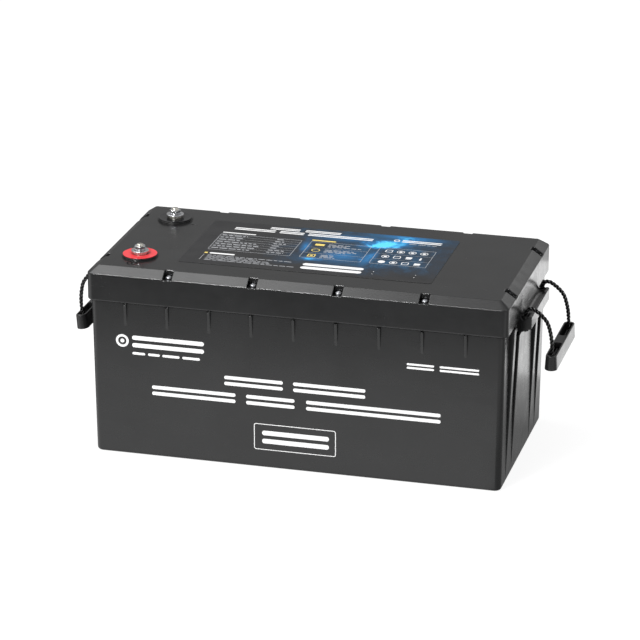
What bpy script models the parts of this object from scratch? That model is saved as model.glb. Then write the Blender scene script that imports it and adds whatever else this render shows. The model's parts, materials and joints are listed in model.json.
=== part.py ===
"""Deep cycle battery: tapered case with a screwed lid, rope handles, stud terminals,
and a series pack of prismatic cells with its management board inside.

Origin: centre of the base, on the ground plane.  +X along the length (terminals and "left"
at -X), -Y is the front face, +Z up.  Sizes are in millimetres; meshes are built in metres.
HALF_X and HALF_Y are half lengths and half widths about the origin.
"""
import math

import bpy
import bmesh
from mathutils import Matrix, Vector

for old_object in list(bpy.data.objects):
    bpy.data.objects.remove(old_object, do_unlink=True)

MM = 0.001
SIDES = (-1, 1)
GAP = 0.3                              # clearance between neighbouring pieces

# ---------------------------------------------------------------- shared dimensions
LID_HALF_X, LID_HALF_Y = 243.0, 120.0  # over the skirt
LID_TOP = 225.3
LID_UNDER = 221.1
LEDGE_Z = 214.3                        # underside of the lid border, above the case rim
CASE_SEAM_Z = 184.0                    # the walls taper below this height
RIM_Z = 211.8
FLOOR_Z = 4.2
SCREW_X = (-147.5, -49.2, 49.2, 147.5)
SCREW_Y = 111.0
END_SCREW_X, END_SCREW_Y = 234.0, 74.0
POCKET_FLOOR = 216.7                   # seat of the lid screws
TERMINAL_X, TERMINAL_Y = -195.3, 67.5
PLATFORM_TOP = 227.3
POST_R = 8.4
POST_HOLE_R = POST_R + 0.3
ROPE_HOLE_X, ROPE_Y = 248.6, 47.0

SCREW_SITES = [(x, side * SCREW_Y) for side in SIDES for x in SCREW_X]
SCREW_SITES += [(side * END_SCREW_X, y) for side in SIDES for y in (-END_SCREW_Y, END_SCREW_Y)]


# ---------------------------------------------------------------- outlines and ranges
def around(centre, half):
    """Range of the given half length about a centre."""
    return centre - half, centre + half


def span(side, near, far):
    """Rising range from near to far on the side of zero given by its sign."""
    return sorted((side * near, side * far))


def rounded_rect(half_x, half_y, radius, z, steps=4, centre_x=0.0, centre_y=0.0):
    """Rounded rectangle ring, counterclockwise seen from above."""
    points = []
    for side_x, side_y, start in ((1, 1, 0), (-1, 1, 90), (-1, -1, 180), (1, -1, 270)):
        for i in range(steps + 1):
            angle = math.radians(start + 90.0 * i / steps)
            points.append((centre_x + side_x * (half_x - radius) + radius * math.cos(angle),
                           centre_y + side_y * (half_y - radius) + radius * math.sin(angle), z))
    return points


def circle(radius, z, x, y, count):
    angles = [2 * math.pi * i / count for i in range(count)]
    return [(x + radius * math.cos(a), y + radius * math.sin(a), z) for a in angles]


def catmull(points, steps):
    """Smooth curve through the given points, with the given steps per span."""
    points = [Vector(p) for p in points]
    points = [points[0] * 2 - points[1]] + points + [points[-1] * 2 - points[-2]]
    curve = []
    for i in range(1, len(points) - 2):
        p0, p1, p2, p3 = points[i - 1:i + 3]
        for k in range(steps):
            t = k / steps
            curve.append(0.5 * ((2 * p1) + (p2 - p0) * t + (2 * p0 - 5 * p1 + 4 * p2 - p3) * t * t
                                + (3 * p1 - p0 - 3 * p2 + p3) * t ** 3))
    curve.append(points[-2])
    return curve


# ---------------------------------------------------------------- bodies added to a bmesh
def add_loft(bm, rings, closed=False):
    """Skins rings of equal length; closed joins the last ring to the first."""
    verts = [[bm.verts.new([c * MM for c in point]) for point in ring] for ring in rings]
    count = len(rings[0])
    pairs = list(zip(verts, verts[1:])) + ([(verts[-1], verts[0])] if closed else [])
    for low, high in pairs:
        for i in range(count):
            j = (i + 1) % count
            bm.faces.new((low[i], low[j], high[j], high[i]))
    if not closed:
        bm.faces.new(list(reversed(verts[0])))
        bm.faces.new(verts[-1])


def add_turned(bm, profile, x, y, count, closed=False):
    """Body turned about a vertical axis; profile rows are (radius, z)."""
    add_loft(bm, [circle(radius, z, x, y, count) for radius, z in profile], closed)


def add_box(bm, x_range, y_range, z_range):
    (x0, x1), (y0, y1) = x_range, y_range
    add_loft(bm, [[(x0, y0, z), (x1, y0, z), (x1, y1, z), (x0, y1, z)] for z in z_range])


def add_prism(bm, outline, y_range, side=1):
    """Outline of (x, z) points, mirrored in X for side -1, extruded along Y."""
    add_loft(bm, [[(side * x, y, z) for x, z in outline] for y in y_range])


def add_tube(bm, path, radii, count):
    """Tube with flat ends along a path, with one radius per point."""
    path = [Vector(p) for p in path]
    last = len(path) - 1
    tangents = [(path[min(i + 1, last)] - path[max(i - 1, 0)]).normalized()
                for i in range(len(path))]
    across = tangents[0].orthogonal().normalized()
    angles = [2 * math.pi * k / count for k in range(count)]
    rings = []
    for point, tangent, radius in zip(path, tangents, radii):
        across = (across - tangent * across.dot(tangent)).normalized()
        normal = tangent.cross(across)
        rings.append([tuple(point + (across * math.cos(a) + normal * math.sin(a)) * radius)
                      for a in angles])
    add_loft(bm, rings)


# ---------------------------------------------------------------- objects
def smooth_by_angle(mesh, degrees):
    mesh.shade_smooth()
    mesh.set_sharp_from_angle(angle=math.radians(degrees))


def make(name, build, mat=None, smooth=None):
    """Object from a function that adds bodies to a bmesh; smooth is the sharp-edge angle."""
    bm = bmesh.new()
    build(bm)
    bmesh.ops.remove_doubles(bm, verts=bm.verts, dist=1e-6)
    bmesh.ops.recalc_face_normals(bm, faces=bm.faces)
    mesh = bpy.data.meshes.new(name)
    bm.to_mesh(mesh)
    bm.free()
    if smooth:
        smooth_by_angle(mesh, smooth)
    if mat:
        mesh.materials.append(mat)
    obj = bpy.data.objects.new(name, mesh)
    bpy.context.scene.collection.objects.link(obj)
    return obj


def loft(name, rings, mat, closed=False, smooth=None):
    return make(name, lambda bm: add_loft(bm, rings, closed), mat, smooth)


def turned(name, profile, x, y, count, mat, closed=False):
    return make(name, lambda bm: add_turned(bm, profile, x, y, count, closed), mat, 40)


def washer(name, inner, outer, z_range, x, y, count, mat):
    low, high = z_range
    profile = [(inner, low), (outer, low), (outer, high), (inner, high)]
    return turned(name, profile, x, y, count, mat, closed=True)


def box(name, x_range, y_range, z_range, mat):
    return make(name, lambda bm: add_box(bm, x_range, y_range, z_range), mat)


def rounded_box(name, x_range, y_range, z_range, mat, radius):
    """Box with rounded upright edges."""
    (x0, x1), (y0, y1) = x_range, y_range
    return loft(name, [rounded_rect((x1 - x0) / 2, (y1 - y0) / 2, radius, z, 3,
                                    (x0 + x1) / 2, (y0 + y1) / 2) for z in z_range],
                mat, smooth=30)


def tube(name, path, radii, mat, count=8):
    return make(name, lambda bm: add_tube(bm, path, radii, count), mat, 40)


def combine(target, operation, *tool_builders):
    """Boolean of an object with one tool body set per builder; the tools are removed."""
    tools = [make("tool", build) for build in tool_builders]
    for tool in tools:
        boolean = target.modifiers.new("boolean", "BOOLEAN")
        boolean.operation = operation
        boolean.solver = "EXACT"
        boolean.object = tool
    depsgraph = bpy.context.evaluated_depsgraph_get()
    mesh = bpy.data.meshes.new_from_object(target.evaluated_get(depsgraph))
    mats = list(target.data.materials)
    target.modifiers.clear()
    target.data = mesh
    mesh.materials.clear()
    for mat in mats:
        mesh.materials.append(mat)
    for tool in tools:
        bpy.data.objects.remove(tool, do_unlink=True)
    bm = bmesh.new()
    bm.from_mesh(mesh)
    bmesh.ops.remove_doubles(bm, verts=bm.verts, dist=2e-6)
    bmesh.ops.dissolve_degenerate(bm, edges=bm.edges, dist=2e-6)
    for face in bm.faces:
        face.material_index = 0
    bm.to_mesh(mesh)
    bm.free()


# ---------------------------------------------------------------- materials
def material(name, colour, rough, metal=0.0):
    mat = bpy.data.materials.new(name)
    mat.use_nodes = True
    shader = mat.node_tree.nodes["Principled BSDF"]
    shader.inputs["Base Color"].default_value = (*colour, 1.0)
    shader.inputs["Roughness"].default_value = rough
    shader.inputs["Metallic"].default_value = metal
    mat.diffuse_color = (*colour, 1.0)
    return mat


CASE_PLASTIC = material("case_plastic", colour=(0.035, 0.036, 0.037), rough=0.42)
LID_PLASTIC = material("lid_plastic", colour=(0.045, 0.046, 0.047), rough=0.38)
GRIP_PLASTIC = material("grip_plastic", colour=(0.02, 0.02, 0.021), rough=0.4)
ROPE_FIBRE = material("rope_fibre", colour=(0.008, 0.008, 0.008), rough=0.75)
RUBBER = material("seal_rubber", colour=(0.02, 0.02, 0.02), rough=0.7)
STEEL = material("plated_steel", colour=(0.66, 0.67, 0.69), rough=0.22, metal=1.0)
RED = material("red_plastic", colour=(0.72, 0.05, 0.06), rough=0.35)
BLACK_GLOSS = material("black_gloss", colour=(0.03, 0.03, 0.032), rough=0.2)
TINNED = material("tinned_brass", colour=(0.72, 0.70, 0.64), rough=0.25, metal=1.0)
LABEL_FILM = material("label_film", colour=(0.03, 0.06, 0.13), rough=0.35)
CELL_WRAP = material("cell_wrap", colour=(0.02, 0.10, 0.45), rough=0.4)
ALUMINIUM = material("aluminium", colour=(0.75, 0.76, 0.77), rough=0.35, metal=1.0)
COPPER = material("nickel_copper", colour=(0.80, 0.62, 0.48), rough=0.3, metal=1.0)
FIBREGLASS = material("fibreglass", colour=(0.35, 0.42, 0.25), rough=0.6)
BOARD_GREEN = material("board_green", colour=(0.02, 0.16, 0.07), rough=0.45)
FOAM = material("foam", colour=(0.06, 0.06, 0.06), rough=0.95)
CABLE_RED = material("cable_red", colour=(0.55, 0.03, 0.03), rough=0.5)
CABLE_BLACK = material("cable_black", colour=(0.02, 0.02, 0.02), rough=0.5)
WIRE_WHITE = material("wire_white", colour=(0.7, 0.7, 0.68), rough=0.5)
STRAP = material("strap_steel", colour=(0.45, 0.46, 0.48), rough=0.4, metal=1.0)

# ---------------------------------------------------------------- case
CASE_TOP_HALF_X, CASE_TOP_HALF_Y = 238.9, 117.3
CASE_BOTTOM_HALF_X, CASE_BOTTOM_HALF_Y = 237.2, 114.65
CASE_CORNER_R, CASE_EDGE_R = 7.0, 4.0
CAVITY_HALF_X, CAVITY_HALF_Y = 234.4, 113.1
DRAFT_X = (CASE_TOP_HALF_X - CASE_BOTTOM_HALF_X) / CASE_SEAM_Z
DRAFT_Y = (CASE_TOP_HALF_Y - CASE_BOTTOM_HALF_Y) / CASE_SEAM_Z
RIB_ROOT = 1.5                         # depth the ribs reach into the wall
RIB_TOP = CASE_SEAM_Z - 0.4
SIDE_RIB_PITCH, SIDE_RIB_OFFSET, SIDE_RIB_W, SIDE_RIB_LENGTH = 49.16, -1.2, 3.5, 26.0
END_RIB_W, END_RIB_BOTTOM, END_RIB_FLARE = 11.5, 8.0, 5.4
END_RIBS = ((50.0, 166.8), (81.5, RIB_TOP))  # (centre y, top z); the first stop below the brackets


def case_body():
    rings = []
    for k in range(4):                 # rounded bottom edge
        angle = math.radians(90.0 * k / 3)
        inset = CASE_EDGE_R * (1 - math.sin(angle))
        z = CASE_EDGE_R * (1 - math.cos(angle))
        rings.append(rounded_rect(CASE_BOTTOM_HALF_X + DRAFT_X * z - inset,
                                  CASE_BOTTOM_HALF_Y + DRAFT_Y * z - inset,
                                  CASE_CORNER_R - 0.5 * inset, z))
    for z in (CASE_SEAM_Z, RIM_Z):
        rings.append(rounded_rect(CASE_TOP_HALF_X, CASE_TOP_HALF_Y, CASE_CORNER_R, z))
    rings.append(rounded_rect(CAVITY_HALF_X, CAVITY_HALF_Y, 4.0, RIM_Z))
    rings.append(rounded_rect(CAVITY_HALF_X - 1.6, CAVITY_HALF_Y - 2.4, 4.0, FLOOR_Z))
    return loft("case", rings, CASE_PLASTIC)


def case_ribs(bm):
    """Wedge ribs: short ones under the lid on both long sides, tall ones on the end walls."""
    bottom = RIB_TOP - SIDE_RIB_LENGTH
    bottom_y = CASE_TOP_HALF_Y - DRAFT_Y * SIDE_RIB_LENGTH
    profile = [(CASE_TOP_HALF_Y - RIB_ROOT, RIB_TOP), (LID_HALF_Y - 0.25, RIB_TOP),
               (bottom_y + 0.05, bottom), (bottom_y - RIB_ROOT, bottom)]
    for k in range(-4, 5):
        rib_x = k * SIDE_RIB_PITCH + SIDE_RIB_OFFSET
        for side in SIDES:
            add_loft(bm, [[(x, side * y, z) for y, z in profile]
                          for x in around(rib_x, SIDE_RIB_W / 2)])
    low_x = CASE_BOTTOM_HALF_X + DRAFT_X * END_RIB_BOTTOM
    for side in SIDES:
        for centre_y, top in END_RIBS:
            top_x = CASE_BOTTOM_HALF_X + DRAFT_X * top
            outline = [(top_x - RIB_ROOT, top), (top_x + END_RIB_FLARE / CASE_SEAM_Z * top, top),
                       (low_x + 0.12, END_RIB_BOTTOM), (low_x - RIB_ROOT, END_RIB_BOTTOM)]
            for side_y in SIDES:
                add_prism(bm, outline, around(side_y * centre_y, END_RIB_W / 2), side)


def screw_bosses(bm):
    for x, y in SCREW_SITES:
        add_turned(bm, [(1.2, 176.0), (5.0, 184.0), (5.0, RIM_Z)], x, y, 12)


def screw_bores(bm):
    for x, y in SCREW_SITES:
        add_turned(bm, [(2.2, 193.0), (2.2, RIM_Z + 3)], x, y, 10)


case = case_body()
combine(case, "UNION", case_ribs)
combine(case, "UNION", screw_bosses)
combine(case, "DIFFERENCE", screw_bores)
smooth_by_angle(case.data, 25)

# ---------------------------------------------------------------- lid
CHAMFER_RUN, CHAMFER_DROP = 10.8, 7.8  # bevelled border of the top face
SKIRT_BOTTOM = 186.5
SKIRT_INNER = (239.4, 117.75, 7.4)     # half x, half y, corner radius
LEDGE_INNER = (226.5, 103.0, 4.0)
LID_OUTER = (LID_HALF_X, LID_HALF_Y, 8.0)
PLATFORM_R = 20.5
POCKET_W = 11.0
BRACKET_HALF_Y, BRACKET_OUT = 52.0, 256.0
BRACKET_MIDDLE_HALF_Y = 41.0
BRACKET_END_START_Y = 40.7             # the end parts overlap the middle part
# Bracket sections: (x, z), given for the right-hand end.
BRACKET_MIDDLE = [
    (239.9, 167.6), (BRACKET_OUT, 173.6), (BRACKET_OUT, 187.3), (254.9, 188.4), (249.8, 188.4),
    (247.2, 189.4), (245.2, 192.2), (244.0, 197.0), (243.3, 205.0), (242.4, 213.0),
    (241.0, 213.0), (241.0, 188.0), (239.9, 186.0)]
BRACKET_END = [
    (239.9, 167.6), (BRACKET_OUT, 173.6), (BRACKET_OUT, 186.6), (254.8, 188.0), (252.6, 188.0),
    (250.6, 185.6), (247.4, 183.8), (245.2, 184.8), (243.9, 188.5), (242.4, 195.0),
    (241.0, 195.0), (241.0, 188.0), (239.9, 186.0)]
ROPE_HOLE = [(4.2, 160.0), (4.2, 178.5), (3.1, 180.2), (3.1, 194.0)]  # (radius, z), knot recess low


def lid_body():
    return loft("lid", [
        rounded_rect(LID_HALF_X - CHAMFER_RUN, LID_HALF_Y - CHAMFER_RUN, 3.0, LID_TOP),
        rounded_rect(*LID_OUTER, LID_TOP - CHAMFER_DROP),
        rounded_rect(*LID_OUTER, SKIRT_BOTTOM),
        rounded_rect(*SKIRT_INNER, SKIRT_BOTTOM - 2.1),
        rounded_rect(*SKIRT_INNER, LEDGE_Z),
        rounded_rect(*LEDGE_INNER, LEDGE_Z),
        rounded_rect(*LEDGE_INNER, LID_UNDER),
    ], LID_PLASTIC)


def platforms(bm):
    """Round raised pads under the terminals."""
    for side in SIDES:
        add_turned(bm, [(PLATFORM_R, LID_TOP - 2.0), (PLATFORM_R, PLATFORM_TOP)],
                   TERMINAL_X, side * TERMINAL_Y, 48)


def bracket_middles(bm):
    for side in SIDES:
        add_prism(bm, BRACKET_MIDDLE, around(0, BRACKET_MIDDLE_HALF_Y), side)


def bracket_ends(bm):
    for side in SIDES:
        for side_y in SIDES:
            add_prism(bm, BRACKET_END, span(side_y, BRACKET_END_START_Y, BRACKET_HALF_Y), side)


def lid_pockets(bm):
    """Square screw pockets, open through the chamfer."""
    heights = (POCKET_FLOOR, LID_TOP + 3)
    for x, y in SCREW_SITES:
        if abs(y) == SCREW_Y:
            add_box(bm, around(x, POCKET_W / 2), span(math.copysign(1, y), 106.8, 123.0), heights)
        else:
            add_box(bm, span(math.copysign(1, x), 229.8, 246.0), around(y, POCKET_W / 2), heights)


def lid_holes(bm):
    """Holes for the screws, the terminal posts and the ropes."""
    for x, y in SCREW_SITES:
        add_turned(bm, [(2.4, LEDGE_Z - 2), (2.4, POCKET_FLOOR + 2)], x, y, 10)
    for side_y in SIDES:
        add_turned(bm, [(POST_HOLE_R, LID_UNDER - 3), (POST_HOLE_R, PLATFORM_TOP + 3)],
                   TERMINAL_X, side_y * TERMINAL_Y, 32)
        for side in SIDES:
            add_turned(bm, ROPE_HOLE, side * ROPE_HOLE_X, side_y * ROPE_Y, 20)


lid = lid_body()
combine(lid, "UNION", platforms, bracket_middles)
combine(lid, "UNION", bracket_ends)
combine(lid, "DIFFERENCE", lid_pockets)
combine(lid, "DIFFERENCE", lid_holes)
smooth_by_angle(lid.data, 25)

# ---------------------------------------------------------------- gasket, screws and label
GASKET_OUTER = (238.5, 116.9, 6.5)     # half x, half y, corner radius
GASKET_INNER = (236.3, 113.9, 4.5)
loft("lid_gasket", [
    rounded_rect(*GASKET_OUTER, RIM_Z + GAP), rounded_rect(*GASKET_OUTER, LEDGE_Z - GAP),
    rounded_rect(*GASKET_INNER, LEDGE_Z - GAP), rounded_rect(*GASKET_INNER, RIM_Z + GAP),
], RUBBER, closed=True)

HEAD_Z = POCKET_FLOOR + GAP
SCREW_PROFILE = [(0.7, 196.0), (1.8, 198.5), (1.8, HEAD_Z),                   # (radius, z): shank
                 (3.9, HEAD_Z), (3.9, HEAD_Z + 1.3), (2.6, HEAD_Z + 2.6)]     # head
for i, (x, y) in enumerate(SCREW_SITES):
    turned(f"lid_screw_{i + 1:02d}", SCREW_PROFILE, x, y, 12, STEEL)

rounded_box("top_label", (-148.0, 146.0), (-76.0, 76.0), (LID_TOP + 0.3, LID_TOP + 0.6),
            LABEL_FILM, radius=4.0)

# ---------------------------------------------------------------- terminals
POST_BOTTOM, POST_SHOULDER, POST_SEAT = 214.5, 219.8, 230.7
POST_FLANGE_R = 11.0
STUD_R, STUD_TOP = 4.0, 239.7
COLLAR_R, COLLAR_T, COLLAR_Z = 19.6, 0.8, PLATFORM_TOP + GAP
WASHER_BORE_R, WASHER_T = 4.4, 1.4
FLAT_WASHER_Z = POST_SEAT + GAP
SPRING_WASHER_Z = FLAT_WASHER_Z + WASHER_T + GAP
NUT_Z = SPRING_WASHER_Z + WASHER_T + GAP
NUT_T, NUT_FLATS, NUT_BORE_R, NUT_FACE_R, NUT_BEVEL = 3.0, 12.0, 4.3, 5.8, 0.6
POST_PROFILE = [                       # (radius, z)
    (POST_FLANGE_R, POST_BOTTOM), (POST_FLANGE_R, POST_SHOULDER), (POST_R, POST_SHOULDER),
    (POST_R, POST_SEAT), (STUD_R, POST_SEAT), (STUD_R, STUD_TOP - 0.8), (STUD_R - 0.9, STUD_TOP)]


def hexagon(z, x, y):
    """Hexagon ring of 24 points, level with the circles of the nut."""
    points = []
    for i in range(24):
        angle = 2 * math.pi * i / 24
        from_flat = (angle + math.pi / 6) % (math.pi / 3) - math.pi / 6
        radius = NUT_FLATS / 2 / math.cos(from_flat)
        points.append((x + radius * math.cos(angle), y + radius * math.sin(angle), z))
    return points


def terminal(pole, y, plastic):
    x, nut_top = TERMINAL_X, NUT_Z + NUT_T
    washer(f"{pole}_terminal_collar", POST_HOLE_R, COLLAR_R, (COLLAR_Z, COLLAR_Z + COLLAR_T),
           x, y, 32, plastic)
    turned(f"{pole}_terminal_post", POST_PROFILE, x, y, 32, TINNED)
    for kind, radius, z in (("flat", 10.2, FLAT_WASHER_Z), ("spring", 6.4, SPRING_WASHER_Z)):
        washer(f"{pole}_{kind}_washer", WASHER_BORE_R, radius, (z, z + WASHER_T), x, y, 24, STEEL)
    loft(f"{pole}_hex_nut", [
        circle(NUT_BORE_R, NUT_Z, x, y, 24), circle(NUT_FACE_R, NUT_Z, x, y, 24),
        hexagon(NUT_Z + NUT_BEVEL, x, y), hexagon(nut_top - NUT_BEVEL, x, y),
        circle(NUT_FACE_R, nut_top, x, y, 24), circle(NUT_BORE_R, nut_top, x, y, 24),
    ], STEEL, closed=True, smooth=25)


terminal("positive", -TERMINAL_Y, RED)
terminal("negative", TERMINAL_Y, BLACK_GLOSS)

# ---------------------------------------------------------------- rope handles
ROPE_R = 2.1
PIVOT_X, PIVOT_Z = 250.3, 193.3        # where the rope bends
GRIP_X, GRIP_Z = 279.6, 138.0          # axis of the rope run inside the grip
GRIP_HALF_Y = 60.0
LEFT_REST_DEG = 8.0                    # the left loop hangs this much closer in
LOOP_TURN_Y, LOOP_TURN_R = 50.0, 3.0   # bend of the rope into the grip
# Back half of the right-hand loop, from the bracket down to the grip: (x, y, z).
LOOP_LEG = [(262.6, 47.6, 192.3), (268.2, 48.0, 187.8), (273.2, 48.4, 181.6),
            (276.6, 48.8, 172.0), (278.6, 49.3, 162.0), (279.4, 49.7, 152.0),
            (GRIP_X, LOOP_TURN_Y, 144.0)]
# Right-hand knot and the rope above it: (x, z, radius).
KNOT = [(ROPE_HOLE_X, 169.2, 1.8), (ROPE_HOLE_X, 170.6, 3.2), (ROPE_HOLE_X, 173.4, 3.7),
        (ROPE_HOLE_X, 176.2, 3.2), (ROPE_HOLE_X, 177.6, ROPE_R), (ROPE_HOLE_X, 184.0, ROPE_R),
        (ROPE_HOLE_X + 0.4, 188.4, ROPE_R), (PIVOT_X - 0.2, 192.2, ROPE_R),
        (PIVOT_X, PIVOT_Z + 0.9, 1.2)]
GRIP_SECTIONS = [(6.6, 129.0), (7.3, 129.9), (6.3, 145.4), (5.7, 146.0)]  # (half width, z)
SLOT_SECTIONS = [(4.0, 3.6, 133.6), (4.45, 3.9, 148.0)]  # (half width, corner radius, z)
SLOT_START_Y, SLOT_END_Y = 12.0, 55.2


def hang(obj, side, origin_x, origin_z):
    """Moves a right-hand piece to its side and its origin to a point given for the right."""
    origin = Vector((origin_x, 0, origin_z)) * MM
    if side < 0:
        mirror = Matrix.Scale(-1, 4, (1, 0, 0))
        pivot = Vector((-PIVOT_X, 0, PIVOT_Z)) * MM
        swing = (Matrix.Translation(pivot)
                 @ Matrix.Rotation(math.radians(-LEFT_REST_DEG), 4, "Y")
                 @ Matrix.Translation(-pivot))
        obj.data.transform(mirror)
        obj.data.flip_normals()
        obj.data.transform(swing)
        origin = swing @ (mirror @ origin)
    obj.data.transform(Matrix.Translation(-origin))
    obj.location = origin


def rope_loop(name):
    half = catmull(LOOP_LEG, 2)
    for degrees in (0, 30, 60, 90):
        angle = math.radians(degrees)
        half.append(Vector((GRIP_X, LOOP_TURN_Y - LOOP_TURN_R * (1 - math.cos(angle)),
                            GRIP_Z + LOOP_TURN_R - LOOP_TURN_R * math.sin(angle))))
    path = half + [Vector((p.x, -p.y, p.z)) for p in reversed(half)]
    return tube(name, path, [ROPE_R] * len(path), ROPE_FIBRE)


def stadium(half_width, z):
    """Grip outline: straight long sides with a half circle at each end."""
    points = []
    for side in (1, -1):
        for k in range(9):
            angle = math.pi * k / 8
            points.append((GRIP_X + side * half_width * math.cos(angle),
                           side * (GRIP_HALF_Y - half_width + half_width * math.sin(angle)), z))
    return points


def grip_slots(bm):
    for side in SIDES:
        low, high = span(side, SLOT_START_Y, SLOT_END_Y)
        add_loft(bm, [rounded_rect(half_width, (high - low) / 2, radius, z, 3,
                                   GRIP_X, (low + high) / 2)
                      for half_width, radius, z in SLOT_SECTIONS])


def grip_tunnel(bm):
    """Round passage for the rope between the two slots."""
    add_prism(bm, [(x, z) for x, z, _ in circle(3.1, 0, GRIP_X, GRIP_Z, 16)], (-16.0, 16.0))


for side_name, side in (("right", 1), ("left", -1)):
    for end, side_y in (("front", -1), ("back", 1)):
        tube(f"{side_name}_rope_knot_{end}", [(side * x, side_y * ROPE_Y, z) for x, z, _ in KNOT],
             [radius for _, _, radius in KNOT], ROPE_FIBRE, 12)
    hang(rope_loop(f"{side_name}_rope_loop"), side, PIVOT_X, PIVOT_Z)
    grip = loft(f"{side_name}_grip", [stadium(*row) for row in GRIP_SECTIONS], GRIP_PLASTIC)
    combine(grip, "DIFFERENCE", grip_slots)
    combine(grip, "DIFFERENCE", grip_tunnel)
    smooth_by_angle(grip.data, 30)
    hang(grip, side, GRIP_X, GRIP_Z)

# ---------------------------------------------------------------- cell pack
CELL_T, CELL_HALF_Y = 54.0, 87.0
CELL_BOTTOM, CELL_TOP = 7.8, 205.0
SPACER_T, PLATE_T, STRAP_T = 1.0, 6.0, 0.8
CELL_PITCH = CELL_T + SPACER_T + 2 * GAP
STACK_LEFT = -88.7
STACK_RIGHT = STACK_LEFT + 3 * CELL_PITCH + CELL_T
CELL_POST_Y, CELL_POST_R = 60.0, 7.0
BUSBAR_Z = CELL_TOP + 2.5
CELL_CENTRES = [STACK_LEFT + i * CELL_PITCH + CELL_T / 2 for i in range(4)]

for i, cell_x in enumerate(CELL_CENTRES):
    cell = rounded_box(f"cell_{i + 1}", around(cell_x, CELL_T / 2), around(0, CELL_HALF_Y),
                       (CELL_BOTTOM, CELL_TOP), CELL_WRAP, radius=2.5)

    def cell_posts(bm):
        for side in SIDES:
            add_turned(bm, [(CELL_POST_R, CELL_TOP - 1), (CELL_POST_R, CELL_TOP + 2.2)],
                       cell_x, side * CELL_POST_Y, 16)

    combine(cell, "UNION", cell_posts)

for i in range(3):
    x = STACK_LEFT + i * CELL_PITCH + CELL_T + GAP
    box(f"cell_spacer_{i + 1}", (x, x + SPACER_T), (-86.5, 86.5),
        (CELL_BOTTOM + 1, CELL_TOP - 1), FIBREGLASS)

for side_name, x in (("left", STACK_LEFT - GAP - PLATE_T), ("right", STACK_RIGHT + GAP)):
    rounded_box(f"end_plate_{side_name}", (x, x + PLATE_T), around(0, CELL_HALF_Y),
                (CELL_BOTTOM, 198.0), ALUMINIUM, radius=1.5)


def pack_strap(name, bottom):
    top = bottom + 16.0
    centre_x = (STACK_LEFT + STACK_RIGHT) / 2
    half_x = (STACK_RIGHT - STACK_LEFT) / 2 + PLATE_T + 2 * GAP
    half_y = CELL_HALF_Y + GAP
    outer = (half_x + STRAP_T, half_y + STRAP_T, 2.6)
    inner = (half_x, half_y, 2.0)
    loft(name, [rounded_rect(*outline, z, 3, centre_x) for outline, z in
                ((outer, bottom), (outer, top), (inner, top), (inner, bottom))],
         STRAP, closed=True)


pack_strap("pack_strap_lower", 58.0)
pack_strap("pack_strap_upper", 150.0)


def busbar(name, start, end, y):
    """Arched bar between the posts of two neighbouring cells."""
    z = BUSBAR_Z
    outline = [(start - 9, z), (start + 11, z), (start + 20, z + 3.2), (end - 20, z + 3.2),
               (end - 11, z), (end + 9, z), (end + 9, z + 2), (end - 12, z + 2),
               (end - 21, z + 5.2), (start + 21, z + 5.2), (start + 12, z + 2), (start - 9, z + 2)]
    make(name, lambda bm: add_prism(bm, outline, around(y, 10)), COPPER)


for i, side in enumerate((1, -1, 1)):
    busbar(f"busbar_{i + 1}", CELL_CENTRES[i], CELL_CENTRES[i + 1], side * CELL_POST_Y)

# ---------------------------------------------------------------- foam
box("base_pad", (-97.0, 139.8), (-92.0, 92.0), (FLOOR_Z + GAP, CELL_BOTTOM - GAP), FOAM)
for end, side in (("front", -1), ("back", 1)):
    box(f"foam_pad_{end}", (-88.0, 131.0), span(side, 88.5, 109.4), (9.0, 170.0), FOAM)
box("foam_block_right", (140.3, 231.0), (-100.0, 100.0), (5.0, 165.0), FOAM)

# ---------------------------------------------------------------- management board
# Board on its heat sink, standing to the left of the pack; the fins point left.
SINK_X, SINK_T = -150.0, 4.0
BOARD_X, BOARD_T = SINK_X + SINK_T + GAP, 1.8
PARTS_X = SINK_X + 5.5                 # inside the board, so that the parts join it


def fins(bm):
    for k in range(-4, 5):
        add_box(bm, (SINK_X - 9.0, SINK_X + 1.0), around(16.0 * k, 1.2), (17.0, 149.0))


def board_parts(bm):
    for k in range(-3, 4):
        add_box(bm, (PARTS_X, SINK_X + 10.5), around(18.0 * k, 5.0), (30.0, 45.0))
    add_box(bm, (PARTS_X, SINK_X + 13.0), (-30.0, 30.0), (120.0, 130.0))
    add_box(bm, (PARTS_X, SINK_X + 9.0), (-12.0, 12.0), (76.0, 100.0))


heatsink = box("bms_heatsink", (SINK_X, SINK_X + SINK_T), (-70.0, 70.0), (16.0, 150.0), ALUMINIUM)
combine(heatsink, "UNION", fins)
board = box("bms_board", (BOARD_X, BOARD_X + BOARD_T), (-68.0, 68.0), (18.0, 148.0), BOARD_GREEN)
combine(board, "UNION", board_parts)

# ---------------------------------------------------------------- cables
CABLE_R = 3.4
LUG_HALF = (8, 7, 1.0)
POST_LUG_Z = POST_BOTTOM - GAP - LUG_HALF[2]
POST_CABLE_Z = POST_LUG_Z - 3.4
CELL_LUG_Z = BUSBAR_Z + 1.4
FIRST_X, LAST_X = CELL_CENTRES[0], CELL_CENTRES[-1]


def lug_cable(name, points, lug_centres, mat):
    """Cable with a flat lug joined to each end."""
    path = catmull(points, 3)
    cable = tube(name, path, [CABLE_R] * len(path), mat)

    def lugs(bm):
        for centre in lug_centres:
            add_box(bm, *(around(c, half) for c, half in zip(centre, LUG_HALF)))

    combine(cable, "UNION", lugs)


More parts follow.
